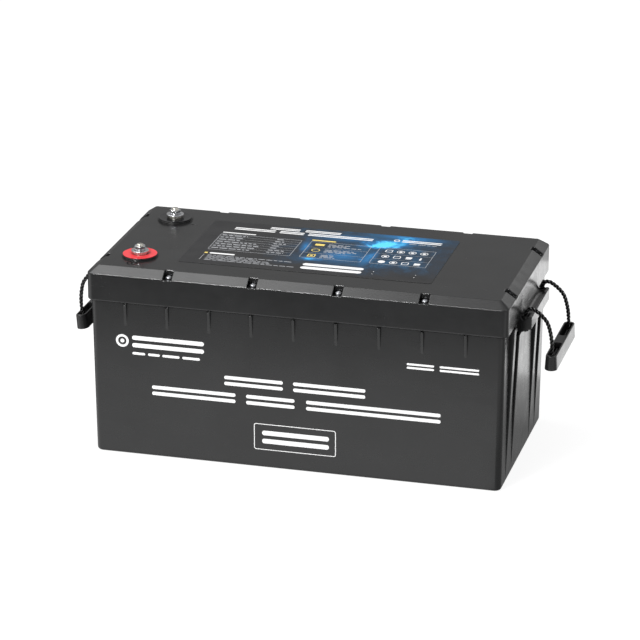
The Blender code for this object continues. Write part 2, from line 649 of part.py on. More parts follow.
lug_cable("positive_cable", [
    (LAST_X - 7.6, -62.0, BUSBAR_Z + 3.2), (LAST_X - 18, -68, BUSBAR_Z + 3.0),
    (LAST_X - 34, -78, BUSBAR_Z + 1.8), (0, -80, BUSBAR_Z + 1.8), (-100, -80, BUSBAR_Z + 1.8),
    (-150, -74, BUSBAR_Z + 1.8), (-172, -69, POST_CABLE_Z),
    (TERMINAL_X + 5, -TERMINAL_Y, POST_CABLE_Z),
], ((LAST_X, -CELL_POST_Y, CELL_LUG_Z), (TERMINAL_X, -TERMINAL_Y, POST_LUG_Z)), CABLE_RED)
lug_cable("negative_cable", [
    (TERMINAL_X + 5, TERMINAL_Y, POST_CABLE_Z), (-178, 66, POST_CABLE_Z - 2.2), (-168, 60, 196),
    (-166, 50, 176), (-158, 40, 162), (-150.8, 34, 155.5),
], ((TERMINAL_X, TERMINAL_Y, POST_LUG_Z), (-148.0, 34.0, 153.5)), CABLE_BLACK)
lug_cable("bms_cell_cable", [
    (FIRST_X - 7.6, -58.0, BUSBAR_Z + 3.2), (-84, -52, BUSBAR_Z + 2.4), (-106, -44, 205),
    (-122, -40, 184), (-132, -36, 166), (-142.0, -34, 155.5),
], ((FIRST_X, -CELL_POST_Y, CELL_LUG_Z), (-146.8, -34.0, 153.5)), CABLE_BLACK)


def balance_harness():
    """Balance leads: one flat ribbon along the pack, dropping to the board."""
    path = catmull([
        (118, 0, CELL_TOP + 1.6), (60, 0, CELL_TOP + 1.6), (0, 0, CELL_TOP + 1.6),
        (-92, 0, CELL_TOP + 1.8), (-108, 0, 199.0), (-120, 0, 178.0), (-130, 0, 150.0),
        (-135.0, 0, 134.0)], 3)
    half_width = Vector((0, 6, 0))
    rings = []
    for k, point in enumerate(path):
        along = (path[min(k + 1, len(path) - 1)] - path[max(k - 1, 0)]).normalized()
        normal = Vector((along.z, 0, -along.x)) * 0.5
        rings.append([point + normal - half_width, point + normal + half_width,
                      point - normal + half_width, point - normal - half_width])
    loft("balance_harness", rings, WIRE_WHITE)


balance_harness()
tube("temperature_sensor", catmull([
    (-2, 22, CELL_TOP + 2.0), (-8, 22, CELL_TOP + 2.0), (-92, 24, CELL_TOP + 1.8),
    (-108, 24, 199.0), (-122, 24, 176.0), (-134, 22, 152.0), (-139, 22, 134.0)], 2),
    [1.5] * 3 + [0.9] * 10, WIRE_WHITE)
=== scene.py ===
"""A boxed battery: ribbed case, screwed lid with a printed label, two terminals, two rope handles.

It stands on z = 0 with its length along X and its front facing -Y; "right" is +X.
Shapes are in millimetres and are scaled to metres when a mesh is made; materials are in metres.
"""
import json
import math

import bmesh
import bpy
from mathutils import Matrix, Vector


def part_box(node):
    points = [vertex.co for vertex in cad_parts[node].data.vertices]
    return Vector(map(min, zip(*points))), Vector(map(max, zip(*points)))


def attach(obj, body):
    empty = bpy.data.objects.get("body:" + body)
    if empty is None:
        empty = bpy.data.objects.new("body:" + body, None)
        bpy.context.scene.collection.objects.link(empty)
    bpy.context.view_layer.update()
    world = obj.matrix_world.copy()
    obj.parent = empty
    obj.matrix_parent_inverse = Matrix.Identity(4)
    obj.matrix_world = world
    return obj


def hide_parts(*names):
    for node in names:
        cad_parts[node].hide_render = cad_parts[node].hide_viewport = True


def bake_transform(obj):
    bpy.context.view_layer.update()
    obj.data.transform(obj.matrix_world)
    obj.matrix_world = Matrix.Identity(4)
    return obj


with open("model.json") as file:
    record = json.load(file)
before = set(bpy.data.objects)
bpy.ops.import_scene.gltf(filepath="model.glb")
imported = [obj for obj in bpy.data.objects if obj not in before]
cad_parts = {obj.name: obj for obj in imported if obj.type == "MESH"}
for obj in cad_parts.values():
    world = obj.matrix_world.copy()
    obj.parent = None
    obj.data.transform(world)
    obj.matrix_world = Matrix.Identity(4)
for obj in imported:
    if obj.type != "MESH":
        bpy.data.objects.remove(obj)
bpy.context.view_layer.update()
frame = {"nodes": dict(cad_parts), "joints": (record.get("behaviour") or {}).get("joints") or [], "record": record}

MM = 0.001
NODES = frame["nodes"]
JOINTS = {joint["name"]: joint for joint in frame["joints"]}


# ================================================================ sizes taken from the CAD (mm)
def span(node):
    """Lowest and highest corner of a CAD piece."""
    low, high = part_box(node)
    return [c / MM for c in low], [c / MM for c in high]


def centre(node):
    """Middle of a CAD piece seen from above."""
    low, high = span(node)
    return (low[0] + high[0]) / 2, (low[1] + high[1]) / 2


def half_width(node):
    low, high = span(node)
    return (high[0] - low[0]) / 2


# names ending in HALF_X and HALF_Y are half lengths about the middle of the box
BRACKET_OUT, LID_HALF_Y, PLATFORM_TOP = span("lid")[1]
LID_HALF_X = BRACKET_OUT - 13.0
LID_TOP = PLATFORM_TOP - 2.0
RIM_Z = span("case")[1][2]
TERMINALS = {side: centre(f"{side}_terminal_collar") for side in ("positive", "negative")}
PLATFORM_RADIUS = half_width("positive_terminal_collar") + 0.9
LABEL_LOW, LABEL_HIGH = span("top_label")
SCREWS = [centre(f"lid_screw_{i:02d}") for i in range(1, 13)]
SCREW_Z = span("lid_screw_01")[1][2] - 2.6      # underside of the screw heads
POCKET_FLOOR = SCREW_Z - 0.3
ROPE_X, ROPE_Y = 248.6, 47.0                    # rope holes in the end brackets
SEAM_Z = 184.0                                  # top of the sloping case wall


# ================================================================ mesh helpers
def rounded(half_x, half_y, radius, z, steps=6, at=(0.0, 0.0)):
    """Level ring: a rectangle with round corners."""
    points = []
    for sign_x, sign_y, start in ((1, 1, 0), (-1, 1, 90), (-1, -1, 180), (1, -1, 270)):
        for i in range(steps + 1):
            angle = math.radians(start + 90.0 * i / steps)
            points.append((at[0] + sign_x * (half_x - radius) + radius * math.cos(angle),
                           at[1] + sign_y * (half_y - radius) + radius * math.sin(angle), z))
    return points


def polar(radii, z, at, start=0.0):
    """Level ring with one radius for each evenly spaced direction."""
    count = len(radii)
    angles = [2 * math.pi * i / count + start for i in range(count)]
    return [(at[0] + r * math.cos(a), at[1] + r * math.sin(a), z) for r, a in zip(radii, angles)]


def circle(radius, z, at=(0.0, 0.0), count=48):
    return polar([radius] * count, z, at)


def add_loft(mesh, rings, closed=False):
    """Skin over equal rings; closed joins the last to the first instead of capping both."""
    loops = [[mesh.verts.new((p[0] * MM, p[1] * MM, p[2] * MM)) for p in ring] for ring in rings]
    count = len(rings[0])
    for a, b in list(zip(loops, loops[1:])) + ([(loops[-1], loops[0])] if closed else []):
        for i in range(count):
            mesh.faces.new((a[i], a[(i + 1) % count], b[(i + 1) % count], b[i]))
    if not closed:
        mesh.faces.new(list(reversed(loops[0])))
        mesh.faces.new(loops[-1])


def link(name, mesh, material):
    """Turn a bmesh into an object in the scene."""
    data = bpy.data.meshes.new(name)
    mesh.to_mesh(data)
    mesh.free()
    if material is not None:
        data.materials.append(material)
    ob = bpy.data.objects.new(name, data)
    bpy.context.scene.collection.objects.link(ob)
    return ob


def shade(ob, degrees, weighted=False):
    """Smooth shading that stays sharp above an angle."""
    ob.data.shade_smooth()
    ob.data.set_sharp_from_angle(angle=math.radians(degrees))
    if weighted:
        normals = ob.modifiers.new("face_weighted", "WEIGHTED_NORMAL")
        normals.keep_sharp = True
        normals.weight = 90


def built(name, build, material, smooth=30):
    mesh = bmesh.new()
    build(mesh)
    bmesh.ops.remove_doubles(mesh, verts=mesh.verts, dist=5e-7)
    bmesh.ops.recalc_face_normals(mesh, faces=mesh.faces)
    ob = link(name, mesh, material)
    if smooth:
        shade(ob, smooth)
    return ob


def loft(name, rings, material, closed=False, smooth=30):
    return built(name, lambda mesh: add_loft(mesh, rings, closed), material, smooth)


def lathe(name, profile, at, material, count, closed=False, smooth=35):
    """Profile of (radius, height) turned about a vertical axis."""
    return loft(name, [circle(r, z, at, count) for r, z in profile], material, closed, smooth)


def combine(target, build, operation):
    """Join a built shape to the target, or cut it away, and tidy the result."""
    tool = built("tool", build, None, smooth=0)
    step = target.modifiers.new("combine", "BOOLEAN")
    step.operation, step.solver, step.object = operation, "EXACT", tool
    depsgraph = bpy.context.evaluated_depsgraph_get()
    data = bpy.data.meshes.new_from_object(target.evaluated_get(depsgraph))
    materials = list(target.data.materials)
    target.modifiers.clear()
    target.data = data
    data.materials.clear()
    for material in materials:
        data.materials.append(material)
    bpy.data.objects.remove(tool, do_unlink=True)
    mesh = bmesh.new()
    mesh.from_mesh(data)
    bmesh.ops.remove_doubles(mesh, verts=mesh.verts, dist=2e-6)
    bmesh.ops.dissolve_degenerate(mesh, edges=mesh.edges, dist=2e-6)
    for face in mesh.faces:
        face.material_index = 0
    mesh.to_mesh(data)
    mesh.free()


def fillet(points, radii, steps=4, closed=False):
    """Rounds the corners of an outline of 2-D points, one radius each."""
    out, last = [], len(points) - 1
    for i, (point, radius) in enumerate(zip(points, radii)):
        if radius <= 0 or (not closed and i in (0, last)):
            out.append(point)
            continue
        corner = Vector(point)
        back = Vector(points[i - 1]) - corner
        ahead = Vector(points[(i + 1) % len(points)]) - corner
        cut = min(radius / math.tan(back.angle(ahead) / 2), 0.47 * back.length,
                  0.47 * ahead.length)
        start = corner + back.normalized() * cut
        end = corner + ahead.normalized() * cut
        for k in range(steps + 1):
            t = k / steps
            out.append(tuple(start * (1 - t) ** 2 + corner * 2 * t * (1 - t) + end * t * t))
    return out


def catmull(points, steps):
    """Smooth curve through vectors, with a number of steps between each pair."""
    points = [points[0] * 2 - points[1]] + points + [points[-1] * 2 - points[-2]]
    out = []
    for before, start, end, after in zip(points, points[1:], points[2:], points[3:]):
        for k in range(steps):
            t = k / steps
            out.append(0.5 * ((2 * start) + (end - before) * t
                              + (2 * before - 5 * start + 4 * end - after) * t * t
                              + (3 * start - before - 3 * end + after) * t ** 3))
    out.append(points[-2])
    return out


def resample(path, step):
    """Points at an even distance along a path, plus its end."""
    out, carry = [path[0].copy()], 0.0
    for a, b in zip(path, path[1:]):
        length = (b - a).length
        along = step - carry
        while along <= length:
            out.append(a + (b - a) * (along / length))
            along += step
        carry = length - (along - step)
    out.append(path[-1].copy())
    return out


def register(ob, replaced, body="root"):
    """Hide the CAD piece this replaces and hang this object on the body it rides."""
    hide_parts(replaced)
    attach(ob, body)


# ================================================================ material graph
class Graph:
    """One material's node tree, with a short method for each kind of node."""

    def __init__(self, name):
        self.material = bpy.data.materials.new(name)
        self.material.use_nodes = True
        self.tree = self.material.node_tree
        self.shader = self.tree.nodes["Principled BSDF"]
        self.coords = self.node("ShaderNodeTexCoord").outputs["Object"]

    def node(self, kind, **settings):
        node = self.tree.nodes.new(kind)
        for key, value in settings.items():
            setattr(node, key, value)
        return node

    def put(self, socket, value):
        """Link a socket, or set a plain value; None leaves the input alone."""
        if isinstance(value, bpy.types.NodeSocket):
            self.tree.links.new(value, socket)
        elif value is not None:
            socket.default_value = value

    def math(self, operation, *values, clamp=False):
        node = self.node("ShaderNodeMath", operation=operation, use_clamp=clamp)
        for socket, value in zip(node.inputs, values):
            self.put(socket, value)
        return node.outputs[0]

    def plus(self, a, b):
        return self.math("ADD", a, b)

    def times(self, a, b):
        return self.math("MULTIPLY", a, b)

    def sway(self, noise, amount):
        """Noise centred on zero."""
        return self.times(self.math("SUBTRACT", noise, 0.5), amount)

    def stretch(self, scale, coords=None):
        node = self.node("ShaderNodeMapping")
        self.put(node.inputs["Vector"], coords or self.coords)
        node.inputs["Scale"].default_value = scale
        return node.outputs[0]

    def noise(self, scale, detail=4.0, rough=0.5, coords=None, distort=0.0):
        node = self.node("ShaderNodeTexNoise")
        self.put(node.inputs["Vector"], coords or self.coords)
        node.inputs["Scale"].default_value = scale
        node.inputs["Detail"].default_value = detail
        node.inputs["Roughness"].default_value = rough
        node.inputs["Distortion"].default_value = distort
        return node.outputs["Fac"]

    def voronoi(self, scale, feature="F1"):
        node = self.node("ShaderNodeTexVoronoi", feature=feature)
        self.put(node.inputs["Vector"], self.coords)
        node.inputs["Scale"].default_value = scale
        return node.outputs["Distance"]

    def wave(self, scale, direction, coords=None, distort=0.0):
        node = self.node("ShaderNodeTexWave", wave_type="BANDS", bands_direction=direction)
        self.put(node.inputs["Vector"], coords or self.coords)
        node.inputs["Scale"].default_value = scale
        node.inputs["Distortion"].default_value = distort
        return node.outputs["Fac"]

    def remap(self, value, source, to=(0.0, 1.0), smooth=False):
        """Carry the source range onto another, clamped."""
        node = self.node("ShaderNodeMapRange", clamp=True)
        if smooth:
            node.interpolation_type = "SMOOTHSTEP"
        for socket, item in zip(node.inputs, (value, *source, *to)):
            self.put(socket, item)
        return node.outputs[0]

    def spread(self, noise, low=0.0, high=1.0):
        """Carry the middle of a noise, where most of it lies, onto low to high."""
        return self.remap(noise, (0.3, 0.7), (low, high))

    def scratch(self, scale, stretch, cut, rough=0.65):
        """Fine streaks: the peaks of a stretched noise."""
        coords = self.stretch(stretch)
        return self.remap(self.noise(scale, detail=3, rough=rough, coords=coords), cut)

    def mix(self, factor, a, b):
        node = self.node("ShaderNodeMix", data_type="RGBA")
        self.put(node.inputs["Factor"], factor)
        for socket, colour in zip([s for s in node.inputs if s.type == "RGBA"], (a, b)):
            self.put(socket, (*colour, 1.0) if isinstance(colour, tuple) else colour)
        return [s for s in node.outputs if s.type == "RGBA"][0]

    def xyz(self, coords=None):
        node = self.node("ShaderNodeSeparateXYZ")
        self.put(node.inputs[0], coords or self.coords)
        return node.outputs

    def bump(self, height, strength, distance, normal=None):
        node = self.node("ShaderNodeBump")
        self.put(node.inputs["Height"], height)
        node.inputs["Strength"].default_value = strength
        node.inputs["Distance"].default_value = distance
        self.put(node.inputs["Normal"], normal)
        return node.outputs[0]

    def bevel(self, radius):
        node = self.node("ShaderNodeBevel", samples=4)
        node.inputs["Radius"].default_value = radius
        return node.outputs[0]

    def edges(self, radius):
        """1 on edges, 0 on flats, from how far a rounded normal turns away."""
        bevel = self.bevel(radius)
        geometry = self.node("ShaderNodeNewGeometry")
        dot = self.node("ShaderNodeVectorMath", operation="DOT_PRODUCT")
        self.put(dot.inputs[0], bevel)
        self.put(dot.inputs[1], geometry.outputs["Normal"])
        return self.remap(dot.outputs["Value"], (0.985, 0.80))

    def openness(self, reach):
        """Ambient occlusion: 1 in the open, 0 in crevices."""
        node = self.node("ShaderNodeAmbientOcclusion", samples=6)
        node.inputs["Distance"].default_value = reach
        return node.outputs["AO"]

    def finish(self, colour, rough, normal, metal=0.0, specular=None):
        for key, value in (("Base Color", colour), ("Roughness", rough), ("Metallic", metal),
                           ("Normal", normal), ("Specular IOR Level", specular)):
            self.put(self.shader.inputs[key], value)
        return self.material


def tone(rgb, gain, lift=0.0):
    """A colour made brighter or darker."""
    return tuple(min(1.0, c * gain + lift) for c in rgb)


# ================================================================ materials (metres)
def moulded(name, rgb, rough, grain=2600.0, relief=0.10, edge=0.0006, wear_and_gleam=0.35, flow=1.0,
            reach=0.007):
    """Moulded plastic: fine grain, flow mottling, faint rubs, pale edges partly painted as highlight, painted
    shade in crevices.

    grain and relief set the texture's scale and strength, edge its rounding, wear the pale edges, partly scuffing
    and partly painted highlight, flow the mottling and reach how far the painted crevice shade spreads.
    """
    mat = Graph(name)
    mottle = mat.noise(14.0, detail=5, rough=0.55, distort=0.6)
    cloud = mat.noise(60.0, detail=3)
    rub = mat.noise(9.0, detail=6, rough=0.7, coords=mat.stretch((1.0, 7.0, 5.0)))
    fine = mat.noise(grain, detail=2, rough=0.6)
    grit = mat.voronoi(grain * 0.55)
    marks = mat.math("MAXIMUM", mat.scratch(420.0, (0.05, 1.0, 1.0), cut=(0.66, 0.74)),
                     mat.scratch(380.0, (1.0, 0.06, 0.5), cut=(0.67, 0.75)))
    marks = mat.times(marks, mat.remap(mat.noise(22.0, detail=2), (0.5, 0.68)))
    # pale edges: partly scuffing, partly painted highlight where the rounded normal turns
    scuffed_and_highlit = mat.times(mat.edges(edge * 1.3), mat.remap(mat.noise(140.0, rough=0.7),
                                                      (0.35, 0.65), (0.35, 1.0)))
    colour = mat.mix(mat.spread(mottle), tone(rgb, 1 - 0.16 * flow), tone(rgb, 1 + 0.20 * flow))
    colour = mat.mix(mat.times(marks, 0.30), colour, tone(rgb, 2.0, lift=0.01))
    colour = mat.mix(mat.times(scuffed_and_highlit, wear_and_gleam), colour, tone(rgb, 2.1, lift=0.015))
    gloss = mat.plus(rough, mat.spread(cloud, -0.025, 0.025))
    gloss = mat.plus(gloss, mat.remap(rub, (0.35, 0.65), (-0.02, 0.03)))
    gloss = mat.plus(gloss, mat.times(marks, 0.12))
    gloss = mat.math("SUBTRACT", gloss, mat.times(scuffed_and_highlit, 0.08))
    texture = mat.plus(mat.times(fine, 0.6), mat.times(grit, 0.5))
    normal = mat.bump(texture, strength=relief, distance=0.00012, normal=mat.bevel(edge))
    normal = mat.bump(mottle, strength=0.006, distance=0.0006, normal=normal)
    # painted shade: ambient occlusion darkens the colour and damps the reflection in crevices and recesses
    light = mat.remap(mat.openness(reach), (0.20, 0.85))
    colour = mat.mix(light, tone(rgb, 0.25), colour)
    return mat.finish(colour, gloss, normal, specular=mat.remap(light, (0.0, 1.0), (0.075, 0.5)))


def metal(name, rgb, rough, tarnish, brushed=None, tint=(0.55, 0.52, 0.47)):
    """Plated or bare metal: tool marks and uneven tarnish; brushed stretches the marks."""
    mat = Graph(name)
    spots = mat.noise(180.0, detail=6, rough=0.62, distort=0.8)
    wide = mat.noise(45.0)
    marks = mat.noise(900.0, rough=0.6, coords=mat.stretch(brushed or (1.0, 1.0, 1.0)))
    fine = mat.noise(4200.0, detail=2)
    dull = mat.times(mat.remap(spots, (0.48, 0.72)), tarnish)
    colour = mat.mix(dull, rgb, tint)
    colour = mat.mix(mat.spread(wide, 0.0, 0.22), colour, tone(rgb, 0.8))
    gloss = mat.plus(rough, mat.spread(marks, -0.05, 0.10))
    gloss = mat.plus(gloss, mat.times(dull, 0.35))
    normal = mat.bump(marks, strength=0.22 if brushed else 0.04, distance=0.00006,
                      normal=mat.bevel(0.00025))
    normal = mat.bump(fine, strength=0.02, distance=0.00004, normal=normal)
    return mat.finish(colour, gloss, normal, metal=1.0)


def fibrous(name, rgb):
    """Laid cord: yarns slant over each strand, with pale lint and painted shade on the strand flanks and valleys
    (UV: u round, v along).
    """
    mat = Graph(name)
    uv = mat.node("ShaderNodeUVMap", uv_map="rope").outputs[0]
    yarn = mat.wave(1.0, "DIAGONAL", coords=mat.stretch((9.0, 520.0, 1.0), uv), distort=0.6)
    fuzz = mat.noise(5200.0, detail=3, rough=0.7)
    lint = mat.noise(900.0, detail=5, rough=0.75, distort=1.0)
    colour = mat.mix(mat.remap(yarn, (0.2, 0.8)), tone(rgb, 0.45), tone(rgb, 1.5))
    colour = mat.mix(mat.remap(lint, (0.50, 0.72), (0.0, 0.8)), colour,
                     tone(rgb, 5.0, lift=0.018))
    # each strand spans one unit of u, so its crown is at the half
    across = mat.math("SUBTRACT", mat.math("FRACT", mat.xyz(uv)[0]), 0.5)
    crown = mat.remap(mat.math("ABSOLUTE", across), (0.10, 0.30), (1.0, 0.0))
    # painted shade: colour goes near black off the strand crowns and in the valleys, and reflection is kept mostly
    # to the crowns
    light = mat.times(mat.remap(mat.openness(0.0011), (0.45, 0.9)), crown)
    colour = mat.mix(light, (0.0006, 0.0006, 0.0006), colour)
    normal = mat.bump(yarn, strength=0.35, distance=0.00018)
    normal = mat.bump(fuzz, strength=0.25, distance=0.00010, normal=normal)
    return mat.finish(colour, mat.spread(lint, 0.22, 0.34), normal,
                      specular=mat.remap(light, (0.0, 1.0), (0.02, 0.85)))


def cellular(name, rgb, scale, rough, depth):
    """Cellular or woven internal material."""
    mat = Graph(name)
    cell = mat.voronoi(scale)
    patch = mat.noise(scale * 0.4, detail=5, rough=0.6)
    colour = mat.mix(mat.remap(cell, (0.1, 0.7)), tone(rgb, 0.55), tone(rgb, 1.35))
    colour = mat.mix(mat.remap(patch, (0.35, 0.7), (0.0, 0.5)), colour, tone(rgb, 0.7))
    normal = mat.bump(cell, strength=0.6, distance=depth)
    return mat.finish(colour, mat.spread(patch, rough - 0.08, min(1.0, rough + 0.05)), normal)


def sleeve(name, rgb, rough):
    """Cable sheath or shrink film: faint drawn lines and scuffs."""
    mat = Graph(name)
    drawn = mat.noise(700.0, detail=3, rough=0.6, coords=mat.stretch((0.08, 1.0, 1.0)))
    scuff = mat.remap(mat.noise(60.0, detail=6, rough=0.7), (0.55, 0.7))
    colour = mat.mix(mat.times(scuff, 0.4), rgb, tone(rgb, 1.5, lift=0.03))
    colour = mat.mix(mat.spread(mat.noise(20.0, detail=3), 0.0, 0.4), colour, tone(rgb, 0.75))
    normal = mat.bump(drawn, strength=0.15, distance=0.0002, normal=mat.bevel(0.0004))
    return mat.finish(colour, mat.plus(rough, mat.times(scuff, 0.2)), normal)


def board(name):
    """Circuit board: solder mask with buried tracks and a weave under it."""
    mat = Graph(name)
    weave = mat.times(mat.wave(900.0, "Y"), mat.wave(900.0, "Z"))
    track = mat.remap(mat.voronoi(160.0, feature="DISTANCE_TO_EDGE"), (0.02, 0.06), (1.0, 0.0))
    colour = mat.mix(mat.times(track, 0.7), (0.012, 0.10, 0.045), (0.05, 0.26, 0.12))
    colour = mat.mix(mat.times(weave, 0.25), colour, (0.02, 0.06, 0.03))
    normal = mat.bump(track, strength=0.3, distance=0.0002)
    return mat.finish(colour, mat.remap(weave, (0.0, 1.0), (0.3, 0.42)), normal)


# cyan flares on the label: centre x, y; half size x, y (m); turn (degrees); strength
FLARES = (
    (0.070, 0.044, 0.040, 0.021, 24, 1.45), (0.058, 0.032, 0.027, 0.0105, 12, 1.3),
    (0.086, 0.070, 0.060, 0.013, -2, 0.55), (-0.006, -0.029, 0.017, 0.009, 0, 0.75),
    (-0.022, 0.012, 0.008, 0.030, 6, 0.45), (0.058, -0.012, 0.010, 0.036, -6, 0.45),
    (0.028, -0.010, 0.040, 0.034, 20, 0.32), (0.020, 0.052, 0.060, 0.016, 6, 0.30),
)


def flare(mat, clouds, x, y, size_x, size_y, turn, strength):
    """Soft elliptical glow with a clouded border."""
    place = mat.node("ShaderNodeMapping", vector_type="TEXTURE")
    mat.put(place.inputs["Vector"], mat.coords)
    place.inputs["Location"].default_value = (x, y, LABEL_HIGH[2] * MM)
    place.inputs["Rotation"].default_value = (0, 0, math.radians(turn))
    place.inputs["Scale"].default_value = (size_x, size_y, 1.0)
    length = mat.node("ShaderNodeVectorMath", operation="LENGTH")
    mat.put(length.inputs[0], place.outputs[0])
    reach = mat.plus(length.outputs["Value"], mat.sway(clouds, 1.5))
    return mat.times(mat.math("POWER", mat.remap(reach, (0.0, 1.0), (1.0, 0.0)), 1.4), strength)


def film(name):
    """Label film: charcoal turning into a blue cloud field with cyan flares and specks."""
    mat = Graph(name)
    x, y, _ = mat.xyz()
    # where the blue field lies: fades at the left, along the front edge and at the right
    warp = mat.noise(22.0, detail=5, rough=0.6, distort=1.2)
    blue = mat.remap(mat.plus(x, mat.sway(warp, 0.10)), (-0.075, 0.045), smooth=True)
    low = mat.remap(mat.plus(y, mat.sway(warp, 0.06)), (-0.070, -0.028), smooth=True)
    right = mat.remap(x, (0.150, 0.100), (0.35, 1.0), smooth=True)
    field = mat.times(mat.times(blue, low), right)
    clouds = mat.noise(30.0, detail=8, rough=0.62, distort=1.6)
    wisps = mat.remap(clouds, (0.40, 0.72), smooth=True)
    charcoal = mat.mix(mat.spread(mat.noise(40.0)), (0.016, 0.016, 0.017), (0.022, 0.022, 0.023))
    deep = mat.mix(wisps, (0.011, 0.026, 0.048), (0.010, 0.070, 0.150))
    colour = mat.mix(field, charcoal, deep)

    flares = [flare(mat, clouds, *row) for row in FLARES]
    glow = flares[0]
    for other in flares[1:]:
        glow = mat.plus(glow, other)
    glow = mat.math("MULTIPLY", glow, 1.0, clamp=True)
    colour = mat.mix(mat.remap(glow, (0.0, 0.50)), colour, (0.012, 0.170, 0.420))
    colour = mat.mix(mat.remap(glow, (0.40, 0.90)), colour, (0.10, 0.62, 1.0))

    # specks in patches towards the right end
    speck = mat.remap(mat.voronoi(260.0), (0.0, 0.16), (1.0, 0.0))
    patch = mat.times(mat.remap(x, (0.095, 0.125)),
                      mat.remap(mat.noise(24.0, detail=3), (0.5, 0.6)))
    patch = mat.times(patch, mat.remap(y, (-0.055, -0.02)))
    colour = mat.mix(mat.times(speck, patch), colour, (0.03, 0.22, 0.50))

    scuff = mat.scratch(300.0, (0.06, 1, 1), cut=(0.68, 0.75), rough=0.6)
    normal = mat.bump(mat.noise(3000.0, detail=2), strength=0.06, distance=0.00008,
                      normal=mat.bevel(0.0002))
    normal = mat.bump(mat.noise(45.0, detail=3), strength=0.05, distance=0.0008, normal=normal)
    gloss = mat.plus(mat.spread(mat.noise(35.0), 0.34, 0.42), mat.times(scuff, 0.1))
    return mat.finish(colour, gloss, normal, specular=0.30)


def ink(name, rgb):
    """Printed ink: pinholes and mottled coverage."""
    mat = Graph(name)
    body = mat.noise(600.0, rough=0.6)
    pinhole = mat.remap(mat.voronoi(1400.0), (0.0, 0.12), (1.0, 0.0))
    colour = mat.mix(mat.spread(body), tone(rgb, 0.93), rgb)
    colour = mat.mix(mat.times(pinhole, 0.25), colour, tone(rgb, 0.6))
    normal = mat.bump(body, strength=0.12, distance=0.00008)
    return mat.finish(colour, mat.spread(body, 0.40, 0.51), normal)


FLOOR_GLOW = 0.80       # share of the floor's look that is plain emission
FLOOR_NEAR = 1.24       # brightness in reflections: floor just ahead of the box,
FLOOR_FAR = 0.20        # floor further ahead,
FLOOR_SIDE = 0.32       # and floor beyond its right end


def floor_paint(name):
    """White floor, partly glowing, that shows in reflections as a graded grey card."""
    mat = Graph(name)
    fine = mat.noise(260.0, detail=3)
    colour = mat.mix(mat.spread(mat.noise(1.3)), (0.86, 0.86, 0.86), (0.89, 0.89, 0.89))
    mat.finish(colour, mat.spread(fine, 0.75, 0.85),
               mat.bump(fine, strength=0.04, distance=0.0002), specular=0.15)

    def blend(factor, a, b):
        node = mat.node("ShaderNodeMixShader")
        for socket, value in zip(node.inputs, (factor, a, b)):
            mat.put(socket, value)
        return node.outputs[0]

    def emission(strength):
        node = mat.node("ShaderNodeEmission")
        mat.put(node.inputs["Strength"], strength)
        return node.outputs[0]

    lit = blend(FLOOR_GLOW, mat.shader.outputs[0], emission(1.12))
    x, y, _ = mat.xyz()
    front = mat.times(mat.remap(y, (-0.41, -0.60), (FLOOR_NEAR, FLOOR_FAR)),
                      mat.remap(y, (-0.10, 0.0), (1.0, 0.12)))
    away = mat.times(mat.remap(x, (0.222, 0.238)), mat.remap(y, (-0.50, -0.20)))
    side = mat.remap(y, (0.08, 0.25), (FLOOR_SIDE, 0.85))
    grey = mat.plus(mat.times(front, mat.math("SUBTRACT", 1.0, away)), mat.times(away, side))
    mirrored = mat.node("ShaderNodeLightPath").outputs["Is Glossy Ray"]
    mat.put(mat.tree.nodes["Material Output"].inputs["Surface"],
            blend(mirrored, lit, emission(grey)))
    return mat.material


MATERIALS = {
    "case": moulded("case_plastic_look", (0.0095, 0.0097, 0.0100), rough=0.28, grain=2300,
                    relief=0.03, edge=0.0007),
    "lid": moulded("lid_plastic_look", (0.0125, 0.0127, 0.0130), rough=0.22, relief=0.02,
                   edge=0.0012),
    "grip": moulded("grip_plastic_look", (0.0115, 0.0115, 0.0118), rough=0.28, grain=2000,
                    relief=0.06, edge=0.0009, wear_and_gleam=0.4, reach=0.004),
    "red": moulded("red_plastic_look", (0.70, 0.046, 0.056), rough=0.16, grain=3000,
                   relief=0.05, edge=0.0004, wear_and_gleam=0.12, flow=0.35),
    "black": moulded("black_gloss_look", (0.010, 0.010, 0.011), rough=0.12, grain=3000,
                     relief=0.04, edge=0.0004, wear_and_gleam=0.25),
    "rubber": moulded("seal_rubber_look", (0.015, 0.015, 0.015), rough=0.62, grain=1500,
                      relief=0.2),
    "steel": metal("plated_steel_look", (0.78, 0.79, 0.81), rough=0.15, tarnish=0.14),
    "zinc": metal("zinc_screw_look", (0.42, 0.43, 0.45), rough=0.34, tarnish=0.12),
    "tinned": metal("tinned_brass_look", (0.74, 0.72, 0.66), rough=0.20, tarnish=0.30),
    "strap": metal("strap_steel_look", (0.45, 0.46, 0.48), rough=0.34, tarnish=0.35,
                   brushed=(0.05, 0.05, 1.0)),
    "aluminium": metal("aluminium_look", (0.72, 0.73, 0.74), rough=0.32, tarnish=0.15,
                       brushed=(1.0, 0.05, 0.4)),
    "copper": metal("nickel_copper_look", (0.80, 0.63, 0.50), rough=0.28, tarnish=0.3,
                    brushed=(0.06, 1.0, 1.0), tint=(0.42, 0.25, 0.16)),
    "rope": fibrous("rope_fibre_look", (0.0040, 0.0040, 0.0043)),
    "film": film("label_film_look"),
    "white": ink("white_ink_look", (0.84, 0.84, 0.84)),
    "grey": ink("grey_ink_look", (0.42, 0.43, 0.45)),
    "yellow": ink("yellow_ink_look", (0.80, 0.62, 0.16)),
    "wrap": sleeve("cell_wrap_look", (0.018, 0.10, 0.42), rough=0.36),
    "red cable": sleeve("cable_red_look", (0.50, 0.025, 0.025), rough=0.40),
    "black cable": sleeve("cable_black_look", (0.02, 0.02, 0.021), rough=0.42),
    "wire": sleeve("wire_white_look", (0.66, 0.66, 0.63), rough=0.45),
    "fibre": cellular("fibreglass_look", (0.36, 0.42, 0.25), scale=700, rough=0.6, depth=0.0002),
    "foam": cellular("foam_look", (0.055, 0.055, 0.058), scale=420, rough=0.93, depth=0.0010),
    "board": board("board_green_look"),
    "floor": floor_paint("studio_floor"),
}

